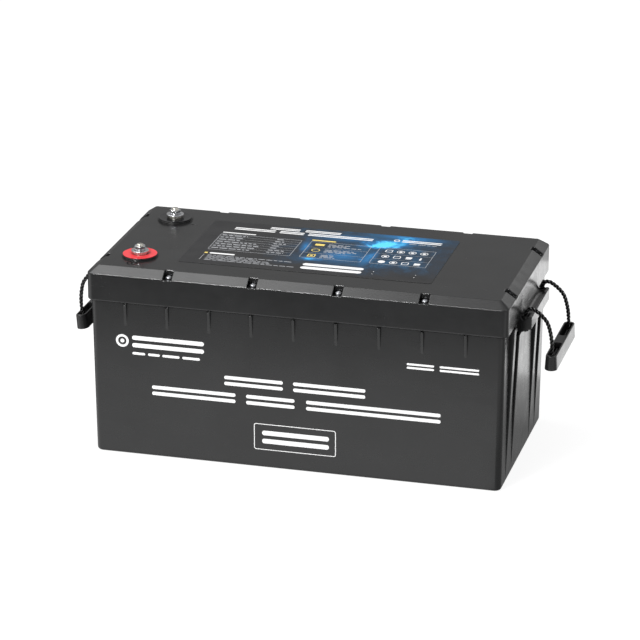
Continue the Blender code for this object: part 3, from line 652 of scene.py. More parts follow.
# ================================================================ internals: CAD shapes, new finish
# start of the CAD name, material; the first match wins
INTERNALS = (
    ("cell_spacer", "fibre"), ("cell_", "wrap"), ("end_plate", "aluminium"),
    ("pack_strap", "strap"), ("busbar", "copper"), ("bms_heatsink", "aluminium"),
    ("bms_board", "board"), ("positive_cable", "red cable"), ("negative_cable", "black cable"),
    ("bms_cell_cable", "black cable"), ("balance_harness", "wire"),
    ("temperature_sensor", "wire"), ("foam", "foam"), ("base_pad", "foam"),
    ("lid_gasket", "rubber"),
)
BEVELLED = ("wrap", "aluminium", "board", "copper", "fibre")
for prefix, key in INTERNALS:
    for name, ob in NODES.items():
        if name.startswith(prefix) and not ob.get("dressed"):
            ob.data.materials.clear()
            ob.data.materials.append(MATERIALS[key])
            ob["dressed"] = 1
            if key in BEVELLED:
                bevel = ob.modifiers.new("soft_edges", "BEVEL")
                bevel.width, bevel.segments = 0.0004, 2
                bevel.limit_method, bevel.angle_limit = "ANGLE", math.radians(40)

# ================================================================ case
BOTTOM_HALF_X, BOTTOM_HALF_Y = LID_HALF_X - 5.8, LID_HALF_Y - 5.35
TOP_HALF_X, TOP_HALF_Y = LID_HALF_X - 4.1, LID_HALF_Y - 2.7
SLOPE_X = (TOP_HALF_X - BOTTOM_HALF_X) / SEAM_Z
SLOPE_Y = (TOP_HALF_Y - BOTTOM_HALF_Y) / SEAM_Z
CAVITY_HALF_X, CAVITY_HALF_Y = TOP_HALF_X - 4.5, TOP_HALF_Y - 4.2
CAVITY_FLOOR = 4.2
CASE_CORNER = 7.0
FOOT_RADIUS = 4.0
RIB_TOP = SEAM_Z - 0.4
RIB_ROOT = 1.5                          # how far ribs reach into the wall
LONG_RIB_PITCH, LONG_RIB_SHIFT = 49.16, -1.2
LONG_RIB_LENGTH = 26.0
LONG_RIB_HALF_WIDTH = 1.75
END_RIB_BOTTOM = 8.0
END_RIB_HALF_WIDTH = 5.75
END_RIBS = ((50.0, 166.8), (81.5, RIB_TOP))     # distance from the middle, top height


def wall_x(z):
    """Distance of the end walls' outer face from the middle."""
    return BOTTOM_HALF_X + SLOPE_X * z


def wall_y(z):
    """Distance of the long walls' outer face from the middle."""
    return BOTTOM_HALF_Y + SLOPE_Y * z


def case_rings():
    """Up the outside from the rounded foot, over the rim and down the cavity."""
    rings = []
    for k in range(7):
        angle = math.radians(90.0 * k / 6)
        inset, z = FOOT_RADIUS * (1 - math.sin(angle)), FOOT_RADIUS * (1 - math.cos(angle))
        rings.append(rounded(wall_x(z) - inset, wall_y(z) - inset, CASE_CORNER - 0.5 * inset,
                             z, 10))
    for z in (40.0, 90.0, 140.0, SEAM_Z):
        rings.append(rounded(wall_x(z), wall_y(z), CASE_CORNER, z, 10))
    x, y = CAVITY_HALF_X, CAVITY_HALF_Y
    # half x, half y, corner radius, height
    for row in ((TOP_HALF_X, TOP_HALF_Y, CASE_CORNER, RIM_Z - 0.6),
                (TOP_HALF_X - 0.6, TOP_HALF_Y - 0.6, 6.4, RIM_Z),
                (x + 0.6, y + 0.6, 4.6, RIM_Z), (x, y, 4.0, RIM_Z - 0.6),
                (x - 1.6, y - 2.4, 4.0, CAVITY_FLOOR + 1.0),
                (x - 2.6, y - 3.4, 3.0, CAVITY_FLOOR)):
        rings.append(rounded(*row, 10))
    return rings


def long_ribs(mesh):
    """Short ribs under the lid on the front and back, growing out of the wall as they rise."""
    bottom = RIB_TOP - LONG_RIB_LENGTH
    for k in range(1, 10):
        x = (k - 5) * LONG_RIB_PITCH + LONG_RIB_SHIFT
        for side in (-1, 1):
            rings = []
            for i in range(9):
                t = i / 8
                z = bottom + (RIB_TOP - bottom) * t
                wall = wall_y(z)
                outer = wall + 0.05 + (LID_HALF_Y - 0.25 - TOP_HALF_Y) * t ** 0.9
                inner = wall - RIB_ROOT
                half = (outer - inner) / 2
                rings.append(rounded(LONG_RIB_HALF_WIDTH, half, min(0.62, half - 0.01), z, 3,
                                     (x, side * (outer + inner) / 2)))
            add_loft(mesh, rings)


def end_ribs(mesh):
    """Tall wedge ribs on the two ends."""
    for end in (-1, 1):
        for offset, top in END_RIBS:
            for side in (-1, 1):
                rings = []
                for i in range(13):
                    z = END_RIB_BOTTOM + (top - END_RIB_BOTTOM) * i / 12
                    wall = wall_x(z)
                    outer = wall + 0.10 + 5.4 * z / SEAM_Z - 0.22
                    inner = wall - RIB_ROOT
                    radius = max(0.3, min(1.1, outer - wall))
                    rings.append(rounded((outer - inner) / 2, END_RIB_HALF_WIDTH, radius, z, 4,
                                         (end * (outer + inner) / 2, side * offset)))
                add_loft(mesh, rings)


def boss_posts(mesh):
    for at in SCREWS:
        add_loft(mesh, [circle(radius, z, at, 20) for radius, z in
                        ((1.2, SEAM_Z - 8.0), (5.0, SEAM_Z), (5.0, RIM_Z))])


def boss_bores(mesh):
    for at in SCREWS:
        add_loft(mesh, [circle(2.2, z, at, 16) for z in (193.0, RIM_Z + 3)])


case = loft("case_shell", case_rings(), MATERIALS["case"])
combine(case, long_ribs, "UNION")
combine(case, end_ribs, "UNION")
combine(case, boss_posts, "UNION")
combine(case, boss_bores, "DIFFERENCE")
shade(case, 24, weighted=True)
register(case, "case")

# ================================================================ lid
SKIRT_Z = 184.4                     # lower edge of the lid
CEILING_Z, RAISED_CEILING_Z = 214.3, 221.1
LID_CHAMFER, LID_CHAMFER_DROP = 10.8, 7.8
TERMINAL_HOLE = 8.7
ENGRAVING = 0.9                     # depth of the plus and minus signs


def lid_rings():
    """From the top centre out over the chamfer, down the skirt and back up inside."""
    # inset from the lid's outline, height
    outside = fillet([(15.0, LID_TOP), (LID_CHAMFER, LID_TOP), (0.0, LID_TOP - LID_CHAMFER_DROP),
                      (0.0, 186.2), (3.0, SKIRT_Z)], [0, 1.0, 1.5, 1.3, 0], 5)
    rings = [rounded(LID_HALF_X - inset, LID_HALF_Y - inset,
                     max(1.2, 8.0 - 5.0 * inset / LID_CHAMFER), z) for inset, z in outside[:-1]]
    # inset x, inset y, corner radius, height
    for x, y, radius, z in ((3.6, 2.25, 7.4, SKIRT_Z), (3.6, 2.25, 7.4, CEILING_Z),
                            (16.5, 17.0, 4.0, CEILING_Z), (16.5, 17.0, 4.0, RAISED_CEILING_Z)):
        rings.append(rounded(LID_HALF_X - x, LID_HALF_Y - y, radius, z))
    return rings


def platforms(mesh):
    """Raised discs round the terminals."""
    profile = fillet([(PLATFORM_RADIUS, LID_TOP - 2.0), (PLATFORM_RADIUS, PLATFORM_TOP),
                      (PLATFORM_RADIUS - 3.0, PLATFORM_TOP)], [0, 0.5, 0], 3)
    for at in TERMINALS.values():
        add_loft(mesh, [circle(r, z, at, 96) for r, z in profile])


# upper face of the bracket from its outer lip to the lid wall: x, z
BRACKET_MIDDLE = ((252.4, 188.4), (249.6, 188.55), (247.2, 189.6), (245.2, 192.4),
                  (244.0, 197.0), (243.3, 204.0), (243.02, 210.0), (242.9, 214.0))
BRACKET_END = ((252.8, 188.0), (250.8, 185.6), (247.6, 183.9), (245.3, 184.9),
               (243.95, 188.0), (243.3, 191.0), (243.02, 194.0), (242.9, 196.5))


def bracket_section(lip, curve):
    """Closed section (x, z) of the bracket under a given upper face."""
    outside = fillet([(239.9, 167.6), (BRACKET_OUT, 173.6), (BRACKET_OUT, lip),
                      (254.85, lip + 1.2), curve[0]], [0, 1.2, 0.9, 0.9, 0], 4)
    sweep = catmull([Vector((x, z, 0)) for x, z in curve], 4)
    return (outside[:-1] + [(p.x, p.y) for p in sweep]
            + [(241.0, curve[-1][1]), (241.0, 188.0), (239.9, 186.0)])


def brackets(mesh):
    """Rope brackets on both ends: high in the middle, lower towards the rope holes."""
    middle = bracket_section(187.2, BRACKET_MIDDLE)
    end = bracket_section(186.8, BRACKET_END)
    # y, share of the end section, inset of the outer face
    stations = [(-52.0, 1.0, 0.8), (-51.7, 1.0, 0.35), (-51.2, 1.0, 0.0)]
    for i in range(9):
        t = i / 8
        stations.append((-43.6 + 5.2 * t, 1 - t * t * (3 - 2 * t), 0.0))
    stations += [(-20.0, 0, 0), (0.0, 0, 0)]
    stations += [(-y, share, inset) for y, share, inset in reversed(stations[:-1])]
    for side in (-1, 1):
        rings = []
        for y, share, inset in stations:
            ring = []
            for (middle_x, middle_z), (end_x, end_z) in zip(middle, end):
                x = middle_x + (end_x - middle_x) * share
                z = middle_z + (end_z - middle_z) * share
                if x > 244.0 and inset > 0:
                    x -= inset
                    z += inset * (0.6 if z < 180 else -0.6)
                ring.append((side * x, y, z))
            rings.append(ring)
        add_loft(mesh, rings)


def eyelets(mesh):
    """Raised collar round each rope hole."""
    profile = fillet([(4.7, 180.0), (4.7, 188.1), (2.4, 188.1)], [0, 0.9, 0], 4)
    for end in (-1, 1):
        for side in (-1, 1):
            at = (end * ROPE_X, side * ROPE_Y)
            add_loft(mesh, [circle(r, z, at, 32) for r, z in profile])


def pockets(mesh):
    """Screw pockets, open to the lid's edge and flared at the top."""
    # height, growth of the outline
    levels = ((POCKET_FLOOR, -0.35), (POCKET_FLOOR + 0.4, 0.0), (LID_TOP - 1.0, 0.0),
              (LID_TOP - 0.4, 0.25), (LID_TOP + 0.4, 1.2), (LID_TOP + 4, 1.2))
    for x, y in SCREWS:
        along_long_side = abs(y) > 100
        inner_face, outer_face = (106.8, 124.0) if along_long_side else (229.8, 247.0)
        rings = []
        for z, grow in levels:
            inner = inner_face - grow
            half, middle = (outer_face - inner) / 2, (inner + outer_face) / 2
            width = 5.5 + grow
            if along_long_side:
                rings.append(rounded(width, half, 1.4, z, 4, (x, math.copysign(middle, y))))
            else:
                rings.append(rounded(half, width, 1.4, z, 4, (math.copysign(middle, x), y)))
        add_loft(mesh, rings)


def holes(mesh):
    """Screw, terminal and rope holes."""
    for at in SCREWS:
        add_loft(mesh, [circle(2.4, z, at, 20) for z in (212.0, POCKET_FLOOR + 2)])
    for at in TERMINALS.values():
        add_loft(mesh, [circle(TERMINAL_HOLE, z, at, 56) for z in (218.0, PLATFORM_TOP + 3)])
    # radius, height: flared at the top, wide at the bottom
    profile = ((4.2, 160.0), (4.2, 178.0), (3.9, 178.8), (3.1, 180.2), (3.1, 186.4),
               (3.4, 187.1), (4.1, 187.7), (4.6, 188.4), (4.6, 196.0))
    for side in (-1, 1):
        for end in (-1, 1):
            at = (end * ROPE_X, side * ROPE_Y)
            add_loft(mesh, [circle(r, z, at, 32) for r, z in profile])


def plus_outline(arm, half):
    """Cross of four arms, as 2-D points."""
    return ((arm, half), (half, half), (half, arm), (-half, arm), (-half, half), (-arm, half),
            (-arm, -half), (-half, -half), (-half, -arm), (half, -arm), (half, -half),
            (arm, -half))


def polarity_marks(mesh):
    """Engraved ringed plus and a minus beside the terminals."""
    bottom, top = LID_TOP - ENGRAVING, LID_TOP + 2
    x, y = TERMINALS["positive"]
    x, y = x - 1.0, y - 27.5
    add_loft(mesh, [circle(r, z, (x, y)) for r, z in
                    ((5.7, bottom), (5.7, top), (4.5, top), (4.5, bottom))], closed=True)
    plus = plus_outline(arm=3.1, half=0.75)
    add_loft(mesh, [[(x + a, y + b, z) for a, b in plus] for z in (bottom, top)])
    x, y = TERMINALS["negative"]
    add_loft(mesh, [rounded(3.7, 0.9, 0.5, z, 3, (x + 27.5, y - 14.0)) for z in (bottom, top)])


lid = loft("lid_shell", lid_rings(), MATERIALS["lid"])
for build in (platforms, brackets, eyelets):
    combine(lid, build, "UNION")
for build in (pockets, holes, polarity_marks):
    combine(lid, build, "DIFFERENCE")
shade(lid, 24, weighted=True)
register(lid, "lid")

# ================================================================ lid screws
SCREW_RADIUS, SCREW_PITCH = 1.8, 1.4


def screw_profile():
    """Point, ringed shank and domed head: radius, height."""
    start = 198.6
    profile = [(0.6, 196.2), (SCREW_RADIUS, start)]
    for k in range(1, 13):
        z = start + k * SCREW_PITCH
        profile += [(1.45, z - SCREW_PITCH / 2), (SCREW_RADIUS, z)]
    profile += [(SCREW_RADIUS, SCREW_Z), (3.9, SCREW_Z), (3.95, SCREW_Z + 0.5)]
    for angle in map(math.radians, range(0, 91, 9)):
        profile.append((0.4 + 3.5 * math.cos(angle), SCREW_Z + 0.7 + 1.9 * math.sin(angle)))
    return profile


def build_screw(number, at):
    turn = math.radians(17 + 41 * (number - 1) % 90)
    c, s = math.cos(turn), math.sin(turn)

    def recess(mesh):
        """Cross recess, wider at the top."""
        plus = plus_outline(arm=1.75, half=0.42)
        add_loft(mesh, [[(at[0] + c * a * k - s * b * k, at[1] + s * a * k + c * b * k, z)
                         for a, b in plus]
                        for z, k in ((SCREW_Z + 1.2, 0.55), (SCREW_Z + 3.4, 1.15))])

    screw = lathe(f"screw_{number:02d}", screw_profile(), at, MATERIALS["zinc"], 32)
    combine(screw, recess, "DIFFERENCE")
    shade(screw, 35)
    register(screw, f"lid_screw_{number:02d}")


for number, at in enumerate(SCREWS, 1):
    build_screw(number, at)

# ================================================================ terminals
THREAD_PITCH, THREAD_RADIUS, THREAD_DEPTH = 1.25, 4.0, 0.62
WASHER_BORE = 4.4
COLLARS = {"positive": ("red", "red_plastic"), "negative": ("black", "black_gloss")}
NUT_TURN = {"positive": math.radians(14), "negative": math.radians(38)}
NUT_CHAMFER = ((0.02, 5.7), (0.2, 6.15), (0.45, 6.6), (0.75, 7.0))  # depth, largest radius
NUT_BORE = ((0.0, 5.0), (0.65, 4.35), (1.2, 4.3))                   # depth, radius


def build_collar(side, at):
    """Coloured ring with a shallow groove in its top."""
    node = f"{side}_terminal_collar"
    low, high = span(node)
    radius, bottom, top = half_width(node), low[2], high[2]
    profile = fillet([(TERMINAL_HOLE, bottom), (radius, bottom), (radius, top),
                      (radius - 1.3, top), (radius - 1.6, top - 0.14), (9.6, top - 0.14),
                      (9.3, top), (TERMINAL_HOLE, top)],
                     [0.1, 0.25, 0.32, 0.12, 0.15, 0.15, 0.12, 0.15], 3, closed=True)
    material, slot = COLLARS[side]
    ob = lathe(f"{side}_collar", profile, at, MATERIALS[material], 96, closed=True)
    register(ob, node)


def build_post(side, at):
    """Flanged post with a threaded stud."""
    low, high = span(f"{side}_terminal_post")
    seat, top, bottom = span(f"{side}_flat_washer")[0][2] - 0.3, high[2], low[2]
    count = 64
    profile = fillet([(10.0, bottom), (11.0, bottom), (11.0, bottom + 5.3), (8.4, bottom + 5.3),
                      (8.4, seat), (4.2, seat)], [0, 0.5, 0.5, 0.3, 0.7, 0], 4)
    rings = [circle(r, z, at, count) for r, z in profile]
    rings.append(circle(THREAD_RADIUS, seat + 0.02, at, count))
    thread_top = top - 0.9
    steps = int((thread_top - seat) / THREAD_PITCH * 12)
    for k in range(steps + 1):
        z = seat + 0.12 + (thread_top - seat - 0.12) * k / steps
        # the thread runs out at both ends
        fade = max(0.0, min(1.0, (z - seat) / 1.0, (top - 0.4 - z) / 0.8))
        radii = []
        for i in range(count):
            phase = ((z - seat) / THREAD_PITCH - i / count) % 1.0
            radii.append(THREAD_RADIUS - THREAD_DEPTH * fade * (abs(phase - 0.5) * 2))
        rings.append(polar(radii, z, at))
    for radius, drop in ((3.72, 0.8), (3.45, 0.42), (2.9, 0.16), (1.8, 0.03), (0.6, 0.0)):
        rings.append(circle(radius, top - drop, at, count))
    ob = loft(f"{side}_post", rings, MATERIALS["tinned"], smooth=40)
    register(ob, f"{side}_terminal_post")


def build_flat_washer(side, at):
    node = f"{side}_flat_washer"
    low, high = span(node)
    radius, bottom, top = half_width(node), low[2], high[2]
    profile = fillet([(WASHER_BORE, bottom), (radius, bottom), (radius, top),
                      (WASHER_BORE, top)], [0.15, 0.3, 0.55, 0.3], 4, closed=True)
    ob = lathe(f"{side}_washer", profile, at, MATERIALS["steel"], 96, closed=True, smooth=40)
    register(ob, node)


def build_split_washer(side, at):
    """Open ring whose ends are sprung apart in height."""
    node = f"{side}_spring_washer"
    low, high = span(node)
    radius, half, rise = half_width(node), 0.62, 0.17
    count, gap = 72, math.radians(7)
    section = fillet([(WASHER_BORE, -half), (radius, -half), (radius, half),
                      (WASHER_BORE, half)], [0.15, 0.3, 0.3, 0.15], 2, closed=True)
    rings = []
    for i in range(count + 1):
        angle = gap + (2 * math.pi - 2 * gap) * i / count
        z = (low[2] + high[2]) / 2 + rise * (i / count - 0.5) * 2
        rings.append([(at[0] + r * math.cos(angle), at[1] + r * math.sin(angle), z + h)
                      for r, h in section])
    ob = loft(f"{side}_split_washer", rings, MATERIALS["steel"], smooth=40)
    bodies = frame["record"]["behaviour"]["bodies"]
    register(ob, node,
             next(body for body, members in bodies.items() if node in members))


def build_nut(side, at):
    """Hexagon with its corners turned down at both faces, and a countersunk bore."""
    low, high = span(f"{side}_hex_nut")
    bottom, top = low[2], high[2]
    # the CAD nut may lie with its corners or its flats across Y
    flats = high[1] - low[1]
    if flats > 13.0:
        flats *= math.cos(math.pi / 6)
    count, start = 72, NUT_TURN[side]
    hexagon = []
    for i in range(count):
        off_flat = (2 * math.pi * i / count + math.pi / 6) % (math.pi / 3) - math.pi / 6
        hexagon.append(flats / 2 / math.cos(off_flat))
    levels = [(bottom + depth, cap) for depth, cap in NUT_CHAMFER]
    levels += [(top - depth, cap) for depth, cap in reversed(NUT_CHAMFER)]
    rings = [polar([min(r, cap) for r in hexagon], z, at, start) for z, cap in levels]
    bore = [(top - depth, r) for depth, r in NUT_BORE]
    bore += [(bottom + depth, r) for depth, r in reversed(NUT_BORE)]
    rings += [polar([r] * count, z, at, start) for z, r in bore]
    ob = loft(f"{side}_nut", rings, MATERIALS["steel"], closed=True, smooth=24)
    register(ob, f"{side}_hex_nut", f"{side}_nut")


for side, at in TERMINALS.items():
    for build in (build_collar, build_post, build_flat_washer, build_split_washer, build_nut):
        build(side, at)

# ================================================================ print helpers
# A print is a list of flat shapes: an outline, or an (outer, inner) pair of equal length.
INK_THICKNESS = 0.05


def rect(x0, x1, y0, y1, radius, steps=4):
    half_x, half_y = (x1 - x0) / 2, (y1 - y0) / 2
    ring = rounded(half_x, half_y, min(radius, half_x - 0.01, half_y - 0.01), 0, steps,
                   ((x0 + x1) / 2, (y0 + y1) / 2))
    return [(a, b) for a, b, _ in ring]


def disc(x, y, radius, count=24):
    return [(a, b) for a, b, _ in circle(radius, 0, (x, y), count)]


def hoop(x, y, outer, inner, count=24):
    return (disc(x, y, outer, count), disc(x, y, inner, count))


def bar(x0, x1, y0, y1):
    """Strip with round ends."""
    return rect(x0, x1, y0, y1, (y1 - y0) / 2)


def rule(x0, x1, y):
    """Thin dividing line."""
    return rect(x0, x1, y, y + 0.25, 0.1, 1)


def stripes(x0, x1, y0, y1):
    """Two plain stripes with the length and height of a word."""
    high = (y1 - y0) * 0.36
    return [rect(x0, x1, y0, y0 + high, high * 0.45), rect(x0, x1, y1 - high, y1, high * 0.45)]


def dashes(x, length, y, high, seed):
    """Row of short dashes of uneven length, for a line of small text."""
    out, end = [], x + length
    while x < end - 1.0:
        seed = (seed * 73 + 41) % 101
        width = min(3.0 + 7.0 * seed / 101.0, end - x)
        out.append(bar(x, x + width, y - high / 2, y + high / 2))
        x += width + 1.3
    return out


def border(x0, x1, y0, y1, radius, line):
    return (rect(x0, x1, y0, y1, radius, 5),
            rect(x0 + line, x1 - line, y0 + line, y1 - line, max(0.1, radius - line), 5))


def printed(name, shapes, place, material):
    """Raise the shapes off a surface; place maps (across, up, height) to x, y, z."""
    def build(mesh):
        for shape in shapes:
            hollow = isinstance(shape, tuple)
            outer, inner = shape if hollow else (shape, None)
            rings = [(outer, 0.0), (outer, INK_THICKNESS)]
            if hollow:
                rings += [(inner, INK_THICKNESS), (inner, 0.0)]
            add_loft(mesh, [[place(a, b, h) for a, b in ring] for ring, h in rings], hollow)

    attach(built(name, build, material), "root")


# ================================================================ top label
LABEL_HALF_X = (LABEL_HIGH[0] - LABEL_LOW[0]) / 2
LABEL_HALF_Y = (LABEL_HIGH[1] - LABEL_LOW[1]) / 2
LABEL_AT = ((LABEL_LOW[0] + LABEL_HIGH[0]) / 2, (LABEL_LOW[1] + LABEL_HIGH[1]) / 2)
# inset, height above the lid
label_film = loft("label_film",
                  [rounded(LABEL_HALF_X - inset, LABEL_HALF_Y - inset, 4.0 - inset,
                           LID_TOP + rise, 8, LABEL_AT)
                   for inset, rise in ((0.05, 0.03), (0.0, 0.08), (0.0, 0.26), (0.08, 0.34))],
                  MATERIALS["film"])
register(label_film, "top_label")


def on_label(across, up, height):
    return (across, up, LID_TOP + 0.345 + height)


PANEL_Y = (-26.0, 30.7)             # lower and upper edge of the three panels
PANEL_RULES = (10.4, -8.4)          # dividers of the middle and right panels
white, grey, yellow = [], [], []

# heading words: x0, x1, y0, y1
for word in ((-77.5, -42.0, 60.8, 67.6), (-35.7, 7.0, 60.8, 67.6), (-117.7, -68.7, 49.6, 57.0),
             (-63.7, -34.5, 49.6, 57.0), (-29.5, 48.0, 49.6, 57.0)):
    white += stripes(*word)
white += [hoop(75.0, 58.2, 3.7, 2.4)] + stripes(81.2, 128.0, 54.6, 61.8)
grey += dashes(91.0, 34.6, 49.9, 1.2, seed=9)

# left panel: a two-column table
white += [bar(-127.5, -87.5, 34.6, 37.2)]
grey += [border(-127.7, -30.7, *PANEL_Y, 1.2, 0.5)]
TABLE_ROWS = ((31, 9), (28, 11), (26, 15), (48, 9), (53, 9), (49, 19), (45, 20))    # text lengths
for k, (first, second) in enumerate(TABLE_ROWS):
    y = 26.6 - 7.7 * k
    grey += dashes(-125.4, first, y, 1.9, seed=7 + k)
    grey += dashes(-60.0, second, y, 1.9, seed=31 + k)
    if k < 6:
        grey += [rule(-127.0, -31.4, y - 4.0)]

# middle panel: three yellow signs with lines of text
yellow += [bar(-20.2, 8.5, 33.4, 36.9)]
grey += [border(-19.5, 52.2, *PANEL_Y, 1.2, 0.5)]
yellow += [rect(-12.5, -1.5, 17.8, 24.0, 0.8), hoop(-7.0, 1.5, 5.0, 4.1),
           (rect(-11.5, -2.5, -22.0, -13.0, 1.0), rect(-10.3, -3.7, -20.8, -14.2, 0.6)),
           disc(-7.0, -17.5, 1.7)]
for k, lengths in enumerate(((25, 22, 40), (34, 38, 26), (16, 15, 18))):
    for j, length in enumerate(lengths):
        grey += dashes(3.0, length, 23.8 - 18.8 * k - 3.7 * j, 1.5, seed=11 * k + 3 * j + 2)
grey += [rule(-19.0, 51.7, y) for y in PANEL_RULES]

# right panel: a grid of symbols
grey += [border(62.2, 128.0, *PANEL_Y, 1.2, 0.5)]
grey += [rule(62.7, 127.5, y) for y in PANEL_RULES]


def symbol(kind, x, y):
    if kind == "frame":
        return [(rect(x - 4.2, x + 4.2, y - 4.0, y + 4.0, 1.2),
                 rect(x - 3.3, x + 3.3, y - 3.1, y + 3.1, 0.8))]
    if kind == "hoop":
        return [hoop(x, y, 4.6, 3.8), rect(x - 1.7, x + 1.7, y - 2.2, y + 2.2, 0.7)]
    if kind == "block":
        return [rect(x - 3.6, x + 3.6, y - 1.2, y + 3.8, 0.8),
                bar(x - 3.6, x + 3.6, y - 3.8, y - 2.6)]
    if kind == "pillar":
        return [rect(x - 1.2, x + 1.2, y - 3.9, y + 2.0, 0.6), disc(x, y + 3.3, 0.9, 12)]
    return [disc(x, y, 4.2)]


SYMBOLS = (("frame", "hoop", "hoop", "hoop"),
           ("hoop", "frame", "block", "pillar"),
           ("disc", "hoop", "frame", "block"))
for row, kinds in enumerate(SYMBOLS):
    for column, kind in enumerate(kinds):
        white += symbol(kind, 75.0 + 13.7 * column, 20.2 - 19.0 * row)

# bulleted lines at the front left, and two wide bars with dots beside them
yellow += [rect(-127.4, -123.6, -40.6, -36.8, 0.8)]
white += [bar(-121.4, -91.6, -40.6, -36.6)]
for k, length in enumerate((101, 60, 74, 76, 106)):
    y = -46.0 - 4.0 * k
    grey += dashes(-121.5, length, y, 1.2, seed=5 * k + 4)
    white += [disc(-126.4, y, 0.55, 10)]
white += [bar(-8.7, 62.2, -52.6, -44.8), bar(-8.7, 62.2, -64.0, -56.2)]
white += [disc(x, y, 0.6, 10) for x in (74.6, 123.0) for y in (-53.0, -61.0)]

for colour, shapes in (("white", white), ("grey", grey), ("yellow", yellow)):
    printed(f"label_print_{colour}", shapes, on_label, MATERIALS[colour])


# ================================================================ print on the case front
def on_front(across, up, height):
    return (across, -(wall_y(up) + 0.01 + height), up)


# round emblem with a word and four short bars beside it
front = [hoop(-202.2, 139.1, 7.6, 4.9, 40), disc(-202.2, 139.1, 2.4)]
front += stripes(-190.5, -105.7, 132.3, 146.4)
for x0, x1 in ((-190.5, -175.4), (-172.0, -158.0), (-155.0, -134.6), (-131.4, -110.6)):
    front.append(bar(x0, x1, 123.4, 126.4))
# words at the upper right and on two middle lines: x0, x1, y0, y1
for word in ((129.0, 160.0, 138.3, 144.9), (166.4, 211.0, 138.3, 144.9),
             (-82.3, -13.7, 97.0, 108.4), (-1.8, 81.8, 97.0, 108.4),
             (-168.0, -69.4, 76.1, 87.8), (-56.8, -0.2, 76.1, 87.8), (13.2, 168.2, 76.1, 87.8)):
    front += stripes(*word)
# framed word below them
front += [border(-48.0, 47.8, 22.4, 54.2, 2.6, 0.85)] + stripes(-38.4, 39.8, 30.4, 46.0)
printed("case_print_white", front, on_front, MATERIALS["white"])

# ================================================================ rope handles
ROPE_STEP = 0.8                     # spacing of the rope's rings
LAY_PITCH = 13.2                    # length of one full twist
STRAND_RADIUS, STRAND_OFFSET = 1.14, 1.29
STRAND_ANGLES = [math.radians(q) for q in (-60, -50, -38, -22, -8, 8, 22, 38, 50)]
# centre line of half a rope, x, y, z: up through the bracket, then down to the grip
ROPE_FIXED = [(ROPE_X, ROPE_Y, z) for z in (169.4, 172.0, 175.0, 178.5, 182.0, 186.0)]
ROPE_FIXED += [(ROPE_X + 0.2, ROPE_Y, 190.0), (ROPE_X + 1.3, ROPE_Y, 193.6)]
ROPE_FREE = [(252.6, 47.1, 195.9), (257.0, 47.3, 195.9), (262.6, 47.6, 192.6),
             (268.2, 48.0, 187.8), (273.2, 48.4, 181.6), (276.6, 48.8, 172.0),
             (278.6, 49.3, 162.0), (279.4, 49.7, 152.0)]


def rope_path(sign, placed, grip_x, grip_z):
    free = ROPE_FREE + [(grip_x, 50.0, 144.0)]
    for angle in map(math.radians, (30, 60, 90)):
        free.append((grip_x, 50.0 - 3.0 * (1 - math.cos(angle)),
                     grip_z + 3.0 - 3.0 * math.sin(angle)))
    free += [(grip_x, y, grip_z) for y in (40.0, 30.0, 20.0, 10.0)]
    half = [Vector((sign * x, y, z)) for x, y, z in ROPE_FIXED] + [placed(p) for p in free]
    path = half + [Vector((p.x, -p.y, p.z)) for p in reversed(half)]
    return resample(catmull(path, 10), ROPE_STEP)


def rope_swell(from_end, z):
    """Thickness factor: a stopper knot near each end, drawn tight through the grip."""
    if from_end > 9.0:
        return 1.0 - 0.12 * min(max((158.0 - z) / 8.0, 0.0), 1.0)
    swell = 1.0
    for place, height, width in ((1.4, 0.30, 1.1), (4.6, 0.58, 2.0)):
        swell += height * math.exp(-((from_end - place) / width) ** 2)
    if from_end < 0.9:
        swell *= 0.72 + 0.28 * from_end / 0.9
    return swell


def build_rope(side, path):
    """Three-strand cord, with a UV map that runs round (u) and along (v)."""
    total = len(path)
    length = ROPE_STEP * (total - 1)
    mesh = bmesh.new()
    uv_layer = mesh.loops.layers.uv.new("rope")
    rings, distances = [], []
    distance = 0.0
    across = Vector((0, 1, 0))      # carried along the path so that only the lay twists
    for i, p in enumerate(path):
        if i:
            distance += (p - path[i - 1]).length
        tangent = (path[min(i + 1, total - 1)] - path[max(i - 1, 0)]).normalized()
        across = (across - tangent * across.dot(tangent)).normalized()
        up = tangent.cross(across)
        swell = rope_swell(min(distance, length - distance), p.z)
        twist = 2 * math.pi * distance / LAY_PITCH
        ring = []
        for strand in range(3):
            for a in STRAND_ANGLES:
                chord = STRAND_RADIUS ** 2 - (STRAND_OFFSET * math.sin(a)) ** 2
                radius = (STRAND_OFFSET * math.cos(a) + math.sqrt(max(chord, 0.0))) * swell
                turn = twist + strand * 2 * math.pi / 3 + a
                ring.append(p + (across * math.cos(turn) + up * math.sin(turn)) * radius)
        rings.append([mesh.verts.new(q * MM) for q in ring])
        distances.append(distance)
    count = len(rings[0])
    for i in range(total - 1):
        near, far = distances[i], distances[i + 1]
        for j in range(count):
            k = (j + 1) % count
            face = mesh.faces.new((rings[i][j], rings[i][k], rings[i + 1][k], rings[i + 1][j]))
            corners = ((j, near), (j + 1, near), (j + 1, far), (j, far))
            for loop, (step, along) in zip(face.loops, corners):
                loop[uv_layer].uv = (step / count * 3.0, along * MM)
    mesh.faces.new(list(reversed(rings[0])))
    mesh.faces.new(rings[-1])
    bmesh.ops.recalc_face_normals(mesh, faces=mesh.faces)
    rope = link(f"{side}_rope_cord", mesh, MATERIALS["rope"])
    shade(rope, 60)
    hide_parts(f"{side}_rope_loop", f"{side}_rope_knot_front", f"{side}_rope_knot_back")
    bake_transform(rope)


